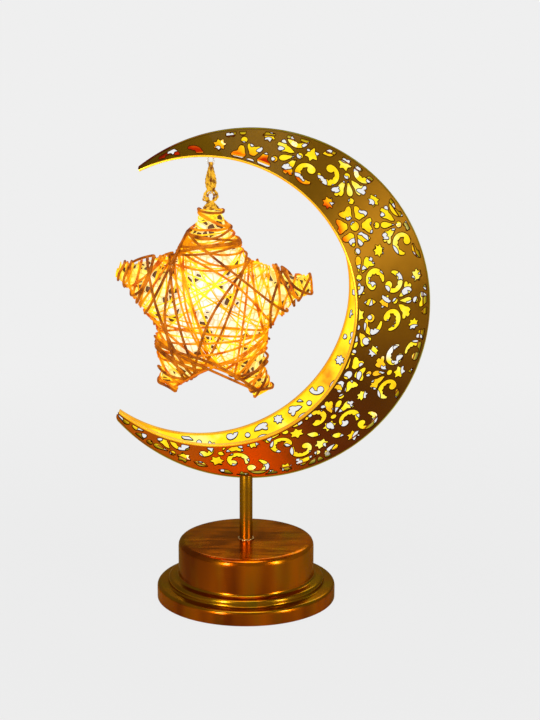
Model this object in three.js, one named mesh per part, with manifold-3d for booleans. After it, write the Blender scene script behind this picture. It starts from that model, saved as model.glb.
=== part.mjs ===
// Table lamp: a pierced sheet-metal crescent moon on a stepped round base, with a
// wound rattan star that hangs in the moon's opening. Millimetres, +Z up, the front
// faces -Y. The origin is the middle of the base on the plane it rests on.
import * as THREE from 'three';
import { mergeVertices } from 'three/addons/utils/BufferGeometryUtils.js';
import Module from 'manifold-3d';

const wasm = await Module();
wasm.setup();

// Clearances
const seatGap = 0.3; // between two pieces that touch on the real lamp
const runGap = 0.4; // between pieces that slide or turn past each other
const bury = 0.5; // how far a joined-on form reaches into its body
const past = 1; // how far a cutting form reaches past a face

// Moon: two cone-shaped sheets that meet at the outer rim
const rimRadius = 111;
const rimX = 3;
const openingStep = 21.6; // how much smaller the opening's radius is than the rim's
const fullWidth = 49; // of the crescent at its widest
const openingTurn = 170.5; // direction in which the opening lies off the rim's middle
const sheetSlope = 0.65; // depth gained per millimetre in from the rim
const sheetWall = 1;
const lipLength = 3.6;
const lowerHornExtra = 2.8; // sheet width at the horn's end, over the least the fold needs
const upperHornExtra = 0.15;
const moonSteps = 27;

// Pierced pattern, laid out on the flat sheet before it is rolled into its cone
const patternTilt = -4.4;
const patternX = 80.9;
const patternY = 54.8;
const repeatAcross = 58.6;
const repeatUp = 46.5;
const petalCircle = 8.6;
const petalLength = 5.4;
const petalWidth = 7.2;
const eyeRadius = 3;
const firstDot = 15.6; // distances out along a spray
const dropPlace = 24;
const lastDot = 31.2;
const crownPlace = 38.7;
const dotRadius = 2;
const dropLength = 9.5;
const dropWidth = 3.6;
const leafOffset = 7.2;
const leafLength = 10;
const leafWidth = 7.6;
const scrollOffset = 10.4;
const scrollRadius = 6.2;
const scrollBand = 3.4;
const scrollBulb = 1.35; // band width at the scroll's round end, as a share
const scrollThinning = 0.45; // share of the band's width lost towards the other end
const crownRadius = 3.6;
const cornerPlace = 21.6;
const cornerRadius = 3.3;
const lensOffset = 8.3;
const lensLength = 8.6;
const lensWidth = 4.2;
const plainMarginOuter = 2.4;
const plainMarginInner = 2.6;
const keptInset = 1; // a cut-out whose middle is nearer the plain margin is left out
const patternColumns = [-4, 1]; // first and last repeats laid over the sheet, across and up
const patternRows = [-5, 2];
const patternHalfTurn = 125; // the pattern ends at this direction each way, short of the horns

// Stem
const stemRadius = 4.1;
const stemBore = 3;
const stemShown = 40; // between the base's top and the moon
const stemTail = 3.8; // below the nut
const stemRise = 2.6; // how far the stem reaches above the moon's lowest point
const nutAcross = 12;
const nutHeight = 4.2;
const washerRadius = 9;
const washerHeight = 1.2;

// Base shell
const flangeWidth = 7.3;
const flangeHeight = 9.8;
const flangeRound = 2.4; // of the flange's upper edge
const ledgeWidth = 6.4;
const ledgeHeight = 14.2;
const ledgeRound = 2.4;
const cove = 1.6; // hollow rounding at the foot of the ledge and of the drum
const drumHeight = 38;
const drumEdge = 3;
const shellWall = 1.2;
const shellFloorGap = 0.6;
const baseSides = 30;

// Bottom plate, feet and screws
const footHeight = 1.5;
const footRadius = 5;
const footInset = 10; // from the flange's edge to the middle of a foot
const centrePadRadius = 6;
const plateThickness = 2;
const lugWidth = 7;
const lugHeight = 4.5;
const screwRadius = 1.3;
const screwHeadRadius = 2.7;
const screwHeadHeight = 0.9;
const screwLength = 6.5;
const screwInset = 7.5;

// Cells and their bay
const cellRadius = 5.25;
const cellLength = 44.5;
const cellCount = 2;
const buttonRadius = 2;
const buttonHeight = 1.2;
const bayY = 20;
const bayWall = 1.1;
const contactThickness = 0.5;
const contactHalf = 4;
const contactBoss = 1.8;
const springReach = 1.3;

// Battery door
const doorBarrelRadius = 1.9;
const doorPinRadius = 0.7;
const doorBarrelLength = 26;
const doorOverlap = 1.2;
const earWidth = 3; // of the two ears on the bottom plate that hold the door's pin
const earHalf = 2.4;
const gripHalf = 5; // finger grip under the door's free edge
const gripWidth = 1.6;
const gripDepth = 0.8;

// Switch and driver board
const switchLength = 13;
const switchWidth = 6.5;
const switchHeight = 6;
const switchY = -24;
const switchTravel = 4;
const knobLength = 4;
const knobWidth = 3;
const knobStand = 0.8; // how far the knob stands out of the bottom plate
const knobReach = 2; // how far the hollow for it goes into the switch
const boardLength = 20;
const boardWidth = 14;
const boardThickness = 1.2;
const boardStand = 2;
const boardPadHalf = 4;
const boardX = -25;
const boardY = -19;

// Light strings
const leadRadius = 0.7;
const leadTurn = 4; // room in which a lead turns off
const wireRadius = 0.5;
const wireInset = 4.6; // from the moon's rim to its wire
const moonLightCount = 10;
const moonLightRadius = 2.1;
const wireEndTurn = 18; // from a horn's end to the wire's end, seen from the rim's middle
const wireSteps = 44;
const clipCount = 5;
const clipLength = 3;
const firstClip = 0.06; // from the wire's end to the first clip, as a share of their spacing
const starLightRadius = 2.1;
const lightCircle = 27;
const wireDepth = 6; // of the star's wire in front of its middle

// Hanging gear
const pinRadius = 0.9;
const linkRadius = 1.7; // of the round ends, to the middle of the wire
const linkWire = 0.5;
const linkLength = 10; // between the middles of the wire at the two ends
const twineRadius = 0.7;
const twineLength = 26.6; // from the link's end to the middle of the star's knot
const diamondHalfWidth = 4;
const diamondBow = 1; // of the diamond's upper sides
const knotRadius = 2.2;

// Star
const starX = -21.4;
const armAngles = [90, 159.5, 242, 300, 11];
const armReaches = [61, 64, 66, 67, 64.5];
const armTaper = 0.73;
const armShoulder = 48.9;
const skinDepth = 5; // from the winding's outside in to the core's edge
const coreDepth = 21; // half the core's thickness in the middle
const coreFullness = 2.4; // 2 gives an elliptical cross-section, more gives a fuller one
const leastCrown = 3; // taken for the core's half thickness at the very tip of an arm
const coreWall = 2.2;
const coreSides = 36;
const coreLevels = 8;
const coreRise = 84; // how far round to the front and back the core's last rings lie
const topHoleRadius = 3;
const frameWire = 1;
const frameInset = 2.8; // from the core's inner wall to the middle of the frame's wire
const strandRadius = 0.8;
const strandLift = 1.5; // strand centre above the core, lower layer
const strandLayer = 2.7;
const turnsOut = 2.25;
const windingInner = 38;
const windingOuterInset = 7.5;
const strandSides = 5;
const stepsPerTurn = 16;

const rimZ = drumHeight + stemShown + rimRadius;
const openingRadius = rimRadius - openingStep;
const openingX = rimX + (fullWidth - openingStep) * Math.cos((openingTurn * Math.PI) / 180);
const openingZ = rimZ + (fullWidth - openingStep) * Math.sin((openingTurn * Math.PI) / 180);

// The battery bay is as large as its cells need, and the base is as wide as the bay needs
const cellPitch = 2 * cellRadius + runGap;
const bayHalfX = cellLength / 2 + springReach + contactThickness + seatGap;
const bayHalfY = (cellCount * cellPitch) / 2 + seatGap;
const bayCorner = Math.hypot(bayHalfX + bayWall, bayY + bayHalfY + bayWall);
const drumInner = bayCorner / Math.cos(Math.PI / baseSides) + seatGap;
const drumRadius = drumInner + shellWall;
const ledgeRadius = drumRadius + ledgeWidth;
const flangeRadius = ledgeRadius + flangeWidth;
const screwCircle = flangeRadius - screwInset;
const footCircle = flangeRadius - footInset;

const deg = Math.PI / 180;
const lamp = new THREE.Group();

function paint(colour, metalness, roughness, glow = 0x000000) {
  return new THREE.MeshStandardMaterial({ color: colour, metalness, roughness, emissive: glow });
}

const finishes = {
  bronze: () => paint(0x8a5a1c, 0.85, 0.38),
  plate: () => paint(0x6d4712, 0.8, 0.42),
  plastic: () => paint(0x191817, 0, 0.6),
  rubber: () => paint(0x121212, 0, 0.9),
  zinc: () => paint(0xb9b9b4, 0.9, 0.35),
  cell: () => paint(0x3c5a45, 0.3, 0.45),
  board: () => paint(0x1f5a35, 0, 0.55),
  copper: () => paint(0xb87333, 0.9, 0.35),
  lead: () => paint(0xd8d4c8, 0, 0.5),
  light: () => paint(0xffe9b0, 0, 0.25, 0xffc55a),
  twine: () => paint(0xc98a35, 0, 0.8),
  rattan: () => paint(0xd9952f, 0, 0.75),
  core: () => paint(0xffcf6a, 0, 0.7, 0x804a10),
};

function addPiece(name, geometry, finish) {
  const piece = new THREE.Mesh(outward(geometry), finishes[finish]());
  piece.name = name;
  lamp.add(piece);
  return piece;
}

// Shape tools

function bare(geometry) {
  const plain = geometry.index ? geometry.toNonIndexed() : geometry.clone();
  plain.deleteAttribute('normal');
  plain.deleteAttribute('uv');
  return mergeVertices(plain, 1e-5);
}

function signedVolume(geometry) {
  const { position } = geometry.attributes;
  const corner = [new THREE.Vector3(), new THREE.Vector3(), new THREE.Vector3()];
  let volume = 0;
  for (let i = 0; i < geometry.index.count; i += 3) {
    corner.forEach((point, k) => point.fromBufferAttribute(position, geometry.index.getX(i + k)));
    volume += corner[0].dot(corner[1].clone().cross(corner[2])) / 6;
  }
  return volume;
}

function outward(geometry) {
  const solid = bare(geometry);
  if (signedVolume(solid) < 0) {
    const order = solid.index.array;
    for (let i = 0; i < order.length; i += 3) {
      [order[i + 1], order[i + 2]] = [order[i + 2], order[i + 1]];
    }
  }
  solid.computeVertexNormals();
  return solid;
}

function toManifold(geometry) {
  const solid = outward(geometry);
  const vertProperties = new Float32Array(solid.attributes.position.array);
  const triVerts = new Uint32Array(solid.index.array);
  return new wasm.Manifold(new wasm.Mesh({ numProp: 3, vertProperties, triVerts }));
}

function toGeometry(manifold) {
  const result = manifold.getMesh();
  const geometry = new THREE.BufferGeometry();
  geometry.setAttribute('position', new THREE.BufferAttribute(result.vertProperties.slice(), 3));
  geometry.setIndex(new THREE.BufferAttribute(result.triVerts.slice(), 1));
  return geometry;
}

function joined(first, ...others) {
  return toGeometry(others.reduce((whole, next) => whole.add(toManifold(next)), toManifold(first)));
}

function cut(first, ...others) {
  return toGeometry(others.reduce((whole, next) => whole.subtract(toManifold(next)), toManifold(first)));
}

// Rings of points skinned into one closed body, either capped or joined end to end
function loft(rings, closed = false) {
  const sides = rings[0].length;
  const points = rings.flat();
  const faces = [];
  const spans = closed ? rings.length : rings.length - 1;
  for (let i = 0; i < spans; i += 1) {
    const here = i * sides;
    const next = ((i + 1) % rings.length) * sides;
    for (let k = 0; k < sides; k += 1) {
      const l = (k + 1) % sides;
      faces.push(here + k, here + l, next + l, here + k, next + l, next + k);
    }
  }
  if (!closed) {
    const last = (rings.length - 1) * sides;
    const outline = flatten(rings[0]);
    THREE.ShapeUtils.triangulateShape(outline, []).forEach(([a, b, c]) => faces.push(a, c, b));
    const endOutline = flatten(rings[rings.length - 1]);
    THREE.ShapeUtils.triangulateShape(endOutline, []).forEach(([a, b, c]) => {
      faces.push(last + a, last + b, last + c);
    });
  }
  const geometry = new THREE.BufferGeometry().setFromPoints(points);
  geometry.setIndex(faces);
  return geometry;
}

// A ring of points in space, seen square on as a flat outline that turns anticlockwise
function flatten(ring) {
  const middle = ring.reduce((sum, p) => sum.add(p), new THREE.Vector3()).divideScalar(ring.length);
  const normal = new THREE.Vector3();
  ring.forEach((p, k) => {
    const q = ring[(k + 1) % ring.length];
    normal.add(p.clone().sub(middle).cross(q.clone().sub(middle)));
  });
  normal.normalize();
  const across = ring[0].clone().sub(middle).normalize();
  const up = normal.clone().cross(across);
  return ring.map((p) => {
    const arm = p.clone().sub(middle);
    return new THREE.Vector2(arm.dot(across), arm.dot(up));
  });
}

// A solid turned about the vertical axis from a profile of [radius, height] points
function turned(profile, sides, x = 0, y = 0) {
  const closing = profile[0][0] > 0 ? [...profile, profile[0]] : profile;
  const outline = closing.map(([radius, height]) => new THREE.Vector2(radius, height));
  return new THREE.LatheGeometry(outline, sides).rotateX(Math.PI / 2).translate(x, y, 0);
}

function disc(radius, bottom, top, sides, x = 0, y = 0) {
  return turned([[0, bottom], [radius, bottom], [radius, top], [0, top]], sides, x, y);
}

function collar(inner, outer, bottom, top, sides, x = 0, y = 0) {
  return turned([[inner, bottom], [outer, bottom], [outer, top], [inner, top]], sides, x, y);
}

function block(x0, x1, y0, y1, z0, z1) {
  const size = new THREE.BoxGeometry(x1 - x0, y1 - y0, z1 - z0);
  return size.translate((x0 + x1) / 2, (y0 + y1) / 2, (z0 + z1) / 2);
}

function rodAcross(radius, length, sides, x, y, z) {
  return new THREE.CylinderGeometry(radius, radius, length, sides).rotateZ(Math.PI / 2).translate(x, y, z);
}

function rodDeep(radius, length, sides, x, y, z) {
  return new THREE.CylinderGeometry(radius, radius, length, sides).translate(x, y, z);
}

// A round tube along a smooth open route
function tube(points, radius, steps, sides = 8) {
  const section = new THREE.Shape();
  for (let k = 0; k < sides; k += 1) {
    const angle = (2 * Math.PI * k) / sides;
    const [x, y] = [radius * Math.cos(angle), radius * Math.sin(angle)];
    if (k === 0) section.moveTo(x, y);
    else section.lineTo(x, y);
  }
  const route = new THREE.CatmullRomCurve3(points.map(([x, y, z]) => new THREE.Vector3(x, y, z)));
  return new THREE.ExtrudeGeometry(section, { extrudePath: route, steps, bevelEnabled: false });
}

// An upright prism through the moon: an outline in X and Z, run along Y
function prism(outline, depth) {
  const shape = new THREE.Shape(outline.map(([x, z]) => new THREE.Vector2(x, z)));
  const solid = new THREE.ExtrudeGeometry(shape, { depth, bevelEnabled: false });
  return solid.rotateX(Math.PI / 2).translate(0, depth / 2, 0);
}

// Round section rings carried along a list of points without twisting
function sweep(points, radius, sides, closed = false) {
  const count = points.length;
  const tangentAt = (i) => {
    const before = closed ? points[(i - 1 + count) % count] : points[Math.max(i - 1, 0)];
    const after = closed ? points[(i + 1) % count] : points[Math.min(i + 1, count - 1)];
    return after.clone().sub(before).normalize();
  };
  let tangent = tangentAt(0);
  let side = new THREE.Vector3(0, 1, 0);
  if (Math.abs(tangent.y) > 0.9) side = new THREE.Vector3(1, 0, 0);
  side.sub(tangent.clone().multiplyScalar(side.dot(tangent))).normalize();
  const rings = points.map((point, i) => {
    const next = tangentAt(i);
    side.applyQuaternion(new THREE.Quaternion().setFromUnitVectors(tangent, next));
    side.sub(next.clone().multiplyScalar(side.dot(next))).normalize();
    tangent = next;
    const up = tangent.clone().cross(side);
    return Array.from({ length: sides }, (_, k) => {
      const angle = (2 * Math.PI * k) / sides;
      const reach = side.clone().multiplyScalar(radius * Math.cos(angle));
      return point.clone().add(reach.addScaledVector(up, radius * Math.sin(angle)));
    });
  });
  return loft(rings, closed);
}

// The moon's sheets

const rimPoint = (angle, inset = 0) => [
  rimX + (rimRadius - inset) * Math.cos(angle * deg),
  rimZ + (rimRadius - inset) * Math.sin(angle * deg),
];

const insetFromRim = (x, z) => rimRadius - Math.hypot(x - rimX, z - rimZ);

// Half the moon's depth, measured to the outside of a sheet
const moonDepthAt = (x, z) => seatGap / 2 + sheetSlope * Math.max(insetFromRim(x, z), 0);

// Distance from the opening's centre out to the rim, along one direction
function rimDistance(angle) {
  const [dx, dz] = [openingX - rimX, openingZ - rimZ];
  const along = dx * Math.cos(angle * deg) + dz * Math.sin(angle * deg);
  return -along + Math.sqrt(along * along - dx * dx - dz * dz + rimRadius * rimRadius);
}

// Direction, from the opening's centre, in which the sheet is that wide
function directionOfWidth(width, horn) {
  const [dx, dz] = [openingX - rimX, openingZ - rimZ];
  const apart = Math.hypot(dx, dz);
  const reach = openingRadius + width;
  const turn = Math.acos((rimRadius ** 2 - apart ** 2 - reach ** 2) / (2 * reach * apart)) / deg;
  return Math.atan2(dz, dx) / deg + horn * turn;
}

const slantWall = sheetWall * Math.hypot(1, sheetSlope);
const leastWidth = (seatGap / 2 + sheetWall * sheetSlope + slantWall) / sheetSlope;
const tipWidth = leastWidth + upperHornExtra;
const lowerHornAngle = directionOfWidth(leastWidth + lowerHornExtra, 1) - 360;
const upperHornAngle = directionOfWidth(tipWidth, -1);

function sheetSection(angle, width) {
  const inner = openingRadius;
  const outer = inner + width;
  const edgeX = openingX + inner * Math.cos(angle * deg);
  const edgeZ = openingZ + inner * Math.sin(angle * deg);
  const depth = moonDepthAt(edgeX, edgeZ) - seatGap / 2;
  const lip = Math.min(lipLength, depth - seatGap / 2);
  const fall = depth / width;
  const profile = [
    [outer, 0],
    [inner, depth],
    [inner, depth - lip],
    [inner + sheetWall, depth - lip],
    [inner + sheetWall, depth - fall * sheetWall - slantWall],
    [outer - slantWall / fall, 0],
  ];
  return profile.map(([reach, y]) => new THREE.Vector3(
    openingX + reach * Math.cos(angle * deg),
    -seatGap / 2 - y,
    openingZ + reach * Math.sin(angle * deg),
  ));
}

function moonSheet() {
  const rings = [];
  for (let i = 0; i <= moonSteps; i += 1) {
    const angle = lowerHornAngle + ((upperHornAngle - lowerHornAngle) * i) / moonSteps;
    const full = rimDistance(angle) - openingRadius;
    const atTip = i === 0 || i === moonSteps;
    rings.push(sheetSection(angle, atTip ? Math.min(full, tipWidth) : full));
  }
  return loft(rings);
}

// The pierced pattern's cut-outs, each an outline in millimetres round its own middle

function polygon(radius, sides, turn = 0) {
  return Array.from({ length: sides }, (_, k) => {
    const angle = (turn + (360 * k) / sides) * deg;
    return [radius * Math.cos(angle), radius * Math.sin(angle)];
  });
}

function sized(shares, width, length) {
  return shares.map(([across, along]) => [across * width, along * length]);
}

function scrollOutline(outer, band, from, to, steps) {
  const outside = [];
  const inside = [];
  for (let k = 0; k <= steps; k += 1) {
    const angle = (from + ((to - from) * k) / steps) * deg;
    const width = band * (k === 0 ? scrollBulb : 1 - (scrollThinning * k) / steps);
    outside.push([outer * Math.cos(angle), outer * Math.sin(angle)]);
    inside.unshift([(outer - width) * Math.cos(angle), (outer - width) * Math.sin(angle)]);
  }
  return [...outside, ...inside];
}

const outlines = {
  eye: polygon(eyeRadius, 6),
  dot: polygon(dotRadius, 5, 90),
  petal: sized([[-0.26, -0.6], [0.26, -0.6], [0.5, 0.4], [0, 0.26], [-0.5, 0.4]], petalWidth, petalLength),
  drop: sized([[0, 0.52], [-0.5, -0.17], [0, -0.48], [0.5, -0.17]], dropWidth, dropLength),
  leaf: sized([[-0.47, 0.55], [0.53, 0.04], [0.2, -0.45], [-0.1, -0.37]], leafWidth, leafLength),
  scroll: scrollOutline(scrollRadius, scrollBand, 62, 292, 3),
  crown: polygon(crownRadius, 4, 45),
  diamond: polygon(cornerRadius, 4),
  lens: sized([[-0.5, 0], [0, 0.5], [0.5, 0], [0, -0.5]], lensLength, lensWidth),
};

// One cut-out of the repeat: which outline, where its middle is, its turn and its mirror
function place(kind, x, y, turn = 0, mirror = 1) {
  return { kind, x, y, turn, mirror };
}

function turnedAbout(item, angle) {
  const [c, s] = [Math.cos(angle * deg), Math.sin(angle * deg)];
  return { ...item, x: item.x * c - item.y * s, y: item.x * s + item.y * c, turn: item.turn + angle };
}

// A spray: what grows out from a rosette along one direction, here straight up
const spray = [
  place('dot', 0, firstDot),
  place('drop', 0, dropPlace),
  place('leaf', leafOffset, dropPlace),
  place('leaf', -leafOffset, dropPlace, 0, -1),
  place('dot', 0, lastDot),
  place('scroll', scrollOffset, lastDot),
  place('scroll', -scrollOffset, lastDot, 0, -1),
  place('crown', 0, crownPlace),
];

const rosette = [
  place('eye', 0, 0),
  ...[0, 60, 120, 180, 240, 300].map((angle) => turnedAbout(place('petal', 0, petalCircle), angle + 30)),
];

const corners = [45, 135, 225, 315].map((angle) => turnedAbout(place('diamond', 0, cornerPlace), angle));

// The whole repeat round one rosette, with the pair of lenses half a repeat above it
const repeat = [
  ...rosette,
  ...corners,
  ...[0, 90, 180, 270].flatMap((angle) => spray.map((item) => turnedAbout(item, angle))),
  place('lens', -lensOffset, repeatUp),
  place('lens', lensOffset, repeatUp),
];

// Where a point of the flat sheet lies, in X and Z, once the sheet is rolled into its cone
function rolled(x, y) {
  const squeeze = 1 / Math.hypot(1, sheetSlope);
  const reach = Math.hypot(x, y) * squeeze;
  const angle = Math.atan2(y, x) / squeeze;
  return [rimX + reach * Math.cos(angle), rimZ + reach * Math.sin(angle)];
}

function insideMargins(x, z, inset) {
  const fromRim = insetFromRim(x, z) - plainMarginOuter;
  const fromOpening = Math.hypot(x - openingX, z - openingZ) - openingRadius - plainMarginInner;
  return Math.min(fromRim, fromOpening) > inset;
}

function piercings() {
  const [c, s] = [Math.cos(patternTilt * deg), Math.sin(patternTilt * deg)];
  const prisms = [];
  for (let column = patternColumns[0]; column <= patternColumns[1]; column += 1) {
    for (let row = patternRows[0]; row <= patternRows[1]; row += 1) {
      if ((column + row) % 2 === 0) {
        repeat.forEach((item) => {
          const flat = (x, y) => {
            const across = column * repeatAcross + x;
            const up = row * repeatUp + y;
            return [patternX + across * c - up * s, patternY + across * s + up * c];
          };
          const [middleX, middleY] = flat(item.x, item.y);
          const middle = rolled(middleX, middleY);
          const onSheet = Math.abs(Math.atan2(middleY, middleX)) < patternHalfTurn * deg;
          if (onSheet && insideMargins(...middle, keptInset)) {
            const [ct, st] = [Math.cos(item.turn * deg), Math.sin(item.turn * deg)];
            const outline = outlines[item.kind].map(([px, py]) => {
              const x = px * item.mirror;
              return rolled(...flat(item.x + x * ct - py * st, item.y + x * st + py * ct));
            });
            prisms.push(toManifold(prism(outline, 2 * rimRadius)));
          }
        });
      }
    }
  }
  console.log(`moon cut-outs: ${prisms.length}`);
  // The cut-outs stop at the plain margins along the sheet's two edges
  const rimSide = rodDeep(rimRadius - plainMarginOuter, 3 * rimRadius, 72, rimX, 0, rimZ);
  const openSide = rodDeep(openingRadius + plainMarginInner, 4 * rimRadius, 72, openingX, 0, openingZ);
  const all = prisms.reduce((whole, next) => whole.add(next));
  return all.intersect(toManifold(rimSide)).subtract(toManifold(openSide));
}

// Where the stem meets the moon
const moonBottom = rimZ - rimRadius;
const stemTop = moonBottom + stemRise;
const nutTop = drumHeight - shellWall - 2 * seatGap - washerHeight;
const stemFoot = nutTop - nutHeight - stemTail;

function buildMoon() {
  const leadHole = toManifold(disc(leadRadius + seatGap, moonBottom - past, moonBottom + 2 * wireInset, 8));
  const front = toManifold(moonSheet()).subtract(piercings()).subtract(leadHole);
  const pierced = toGeometry(front);
  addPiece('moon_front_plate', pierced, 'plate');
  addPiece('moon_back_plate', pierced.clone().scale(1, -1, 1), 'plate');
}

// The wire that lies in the moon's seam, its clips and its lights
function buildMoonLights() {
  const startAngle = Math.atan2(
    openingZ + openingRadius * Math.sin(lowerHornAngle * deg) - rimZ,
    openingX + openingRadius * Math.cos(lowerHornAngle * deg) - rimX,
  ) / deg;
  const endAngle = Math.atan2(
    openingZ + openingRadius * Math.sin(upperHornAngle * deg) - rimZ,
    openingX + openingRadius * Math.cos(upperHornAngle * deg) - rimX,
  ) / deg;
  const from = startAngle + wireEndTurn;
  const to = endAngle - wireEndTurn;
  const route = Array.from({ length: wireSteps + 1 }, (_, i) => {
    const [x, z] = rimPoint(from + ((to - from) * i) / wireSteps, wireInset);
    return new THREE.Vector3(x, 0, z);
  });
  addPiece('moon_wire', sweep(route, wireRadius, 5), 'copper');

  const along = (share) => from + (to - from) * share;
  const bead = new THREE.SphereGeometry(moonLightRadius, 7, 4);
  const lightInset = wireInset + wireRadius + seatGap + moonLightRadius;
  for (let i = 0; i < moonLightCount; i += 1) {
    const [x, z] = rimPoint(along((i + 0.5) / moonLightCount), lightInset);
    addPiece(`moon_light_${i + 1}`, bead.clone().translate(x, 0, z), 'light');
  }

  // Each clip is a soft collar round the wire, as wide as the seam allows
  const room = wireInset * Math.sin(Math.atan(sheetSlope)) - sheetWall;
  for (let i = 0; i < clipCount; i += 1) {
    const angle = along((i + firstClip) / (clipCount - 1 + 2 * firstClip));
    const [x, z] = rimPoint(angle, wireInset);
    const ring = collar(wireRadius + seatGap, room - seatGap / 2, -clipLength / 2, clipLength / 2, 8);
    addPiece(`wire_clip_${i + 1}`, ring.rotateY(-angle * deg).translate(x, 0, z), 'plastic');
  }
}

// Hanging gear: a pin across the two lips, a long link on the pin, a twine loop in the link

const lipZ = openingZ + Math.sqrt(openingRadius ** 2 - (starX - openingX) ** 2);
const pinZ = lipZ + sheetWall + seatGap + pinRadius;
const linkTop = pinZ + pinRadius + seatGap + linkWire;
const loopAxisZ = linkTop - linkLength;
const knotZ = loopAxisZ - twineLength;
const coreTop = knotZ - knotRadius - seatGap;
const starZ = coreTop - coreReach(armAngles[0]);

function buildHangingGear() {
  const depth = moonDepthAt(starX, lipZ);
  const pinHalf = depth - sheetSlope * (pinZ + pinRadius - lipZ) - slantWall - seatGap;
  addPiece('hanger_pin', rodDeep(pinRadius, 2 * pinHalf, 10, starX, 0, pinZ), 'zinc');

  const halfTurn = [0, 36, 72, 108, 144, 180];
  const linkEnd = (z, from) => halfTurn.map((angle) => new THREE.Vector3(
    starX + linkRadius * Math.cos((from + angle) * deg), 0, z + linkRadius * Math.sin((from + angle) * deg)));
  const linkRoute = [...linkEnd(linkTop - linkRadius, 0), ...linkEnd(loopAxisZ + linkRadius, 180)];
  addPiece('hang_link', sweep(linkRoute, linkWire, 6, true), 'zinc');

  // The loop goes over the link's wire front to back, then its two runs lie side by side,
  // spread into a diamond and close under it
  const bend = linkWire + seatGap + twineRadius;
  const loopBottom = knotZ + knotRadius + seatGap + twineRadius;
  const widest = loopBottom + diamondHalfWidth + seatGap;
  const runEnd = widest + diamondHalfWidth;
  const down = (sign) => [
    [0, bend, loopAxisZ],
    [0.5 * bend, 0.8 * bend, loopAxisZ - bend],
    [0.8 * bend, 0.3 * bend, (loopAxisZ + runEnd) / 2],
    [bend, 0, runEnd],
    [diamondHalfWidth / 2, 0, (runEnd + widest) / 2 + diamondBow],
    [diamondHalfWidth, 0, widest],
    [diamondHalfWidth / 2, 0, (widest + loopBottom) / 2 - diamondBow / 2],
    [twineRadius, 0, loopBottom],
  ].map(([x, y, z]) => new THREE.Vector3(starX + sign * x, sign * y, z));
  const over = [150, 120, 90, 60, 30].map((angle) => new THREE.Vector3(
    starX, bend * Math.cos(angle * deg), loopAxisZ + bend * Math.sin(angle * deg)));
  addPiece('twine_loop', sweep([...down(-1).reverse(), ...over, ...down(1)], twineRadius, 6, true), 'twine');

  // The knot's tail goes down through the star's top to the frame's wire
  const frameTop = coreTop - coreWall - frameInset + frameWire;
  const knot = new THREE.SphereGeometry(knotRadius, 10, 7).translate(starX, 0, knotZ);
  addPiece('star_knot', joined(knot, disc(twineRadius, frameTop + seatGap, knotZ, 6, starX)), 'twine');
}

// The star

// Reach of the wound star's outline from its middle, in one direction
function starReach(angle) {
  let nearest = 0;
  let smallest = 360;
  armAngles.forEach((arm, i) => {
    const apart = Math.abs(((angle - arm + 540) % 360) - 180);
    if (apart < smallest) [smallest, nearest] = [apart, i];
  });
  const edge = armShoulder / (Math.sin(smallest * deg) + armTaper * Math.cos(smallest * deg));
  const cap = armReaches[nearest] + 2;
  return (edge ** -14 + cap ** -14) ** (-1 / 14);
}

function coreReach(angle) {
  return starReach(angle) - skinDepth;
}

// Half the core's thickness where it is filled so far, from 0 in the middle to 1 at its edge
function coreCrown(fill) {
  return coreDepth * Math.sqrt(Math.max(1 - fill ** coreFullness, 0));
}

function starShell(inset) {
  const rings = [];
  for (let j = 0; j <= coreLevels; j += 1) {
    const rise = coreRise * ((2 * j) / coreLevels - 1) * deg;
    const y = Math.sign(rise) * coreCrown(Math.cos(rise)) * (1 - inset / coreDepth);
    rings.push(Array.from({ length: coreSides }, (_, i) => {
      const angle = (360 * i) / coreSides + 90;
      const reach = (coreReach(angle % 360) - inset) * Math.cos(rise);
      const x = starX + reach * Math.cos(angle * deg);
      return new THREE.Vector3(x, y, starZ + reach * Math.sin(angle * deg));
    }));
  }
  return loft(rings);
}

// A point on a turn of strand round one arm: how far out, how far round, how high
function strandPoint(arm, out, round, lift) {
  const axis = armAngles[arm];
  const half = armHalfWidth(axis, out);
  const across = half * Math.cos(round);
  const reach = Math.hypot(out, across);
  const angle = axis + Math.atan2(across, out) / deg;
  const fill = Math.min(reach / coreReach((angle + 360) % 360), 1);
  const depth = coreCrown(fill) * Math.sign(Math.sin(round));
  const lean = new THREE.Vector2(Math.cos(round) / half, Math.sin(round) / crownAt(axis, out)).normalize();
  const wide = across + lift * lean.x;
  const deep = depth + lift * lean.y;
  return new THREE.Vector3(
    starX + out * Math.cos(axis * deg) - wide * Math.sin(axis * deg),
    deep,
    starZ + out * Math.sin(axis * deg) + wide * Math.cos(axis * deg),
  );
}

function armHalfWidth(axis, out) {
  let [low, high] = [0, armShoulder];
  for (let i = 0; i < 30; i += 1) {
    const middle = (low + high) / 2;
    const angle = (axis + Math.atan2(middle, out) / deg + 360) % 360;
    if (Math.hypot(out, middle) < coreReach(angle)) low = middle;
    else high = middle;
  }
  return low;
}

// Half the core's thickness on an arm's middle line
function crownAt(axis, out) {
  return Math.max(coreCrown(out / coreReach(axis)), leastCrown);
}

// A strand laid straight over one face of the star from one arm's root to another's
function crossing(from, to, face, lifts) {
  const steps = 10;
  const start = strandPoint(from, windingInner, (face * Math.PI) / 2, 0);
  const end = strandPoint(to, windingInner, (face * Math.PI) / 2, 0);
  const points = [];
  for (let i = 1; i < steps; i += 1) {
    const share = i / steps;
    const point = start.clone().lerp(end, share);
    const [dx, dz] = [point.x - starX, point.z - starZ];
    const angle = (Math.atan2(dz, dx) / deg + 360) % 360;
    const fill = Math.hypot(dx, dz) / coreReach(angle);
    const lift = lifts(share);
    point.y = face * (coreCrown(fill) + lift);
    points.push(point);
  }
  return points;
}

const eased = (value) => {
  const held = Math.min(Math.max(value, 0), 1);
  return held * held * (3 - 2 * held);
};

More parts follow.
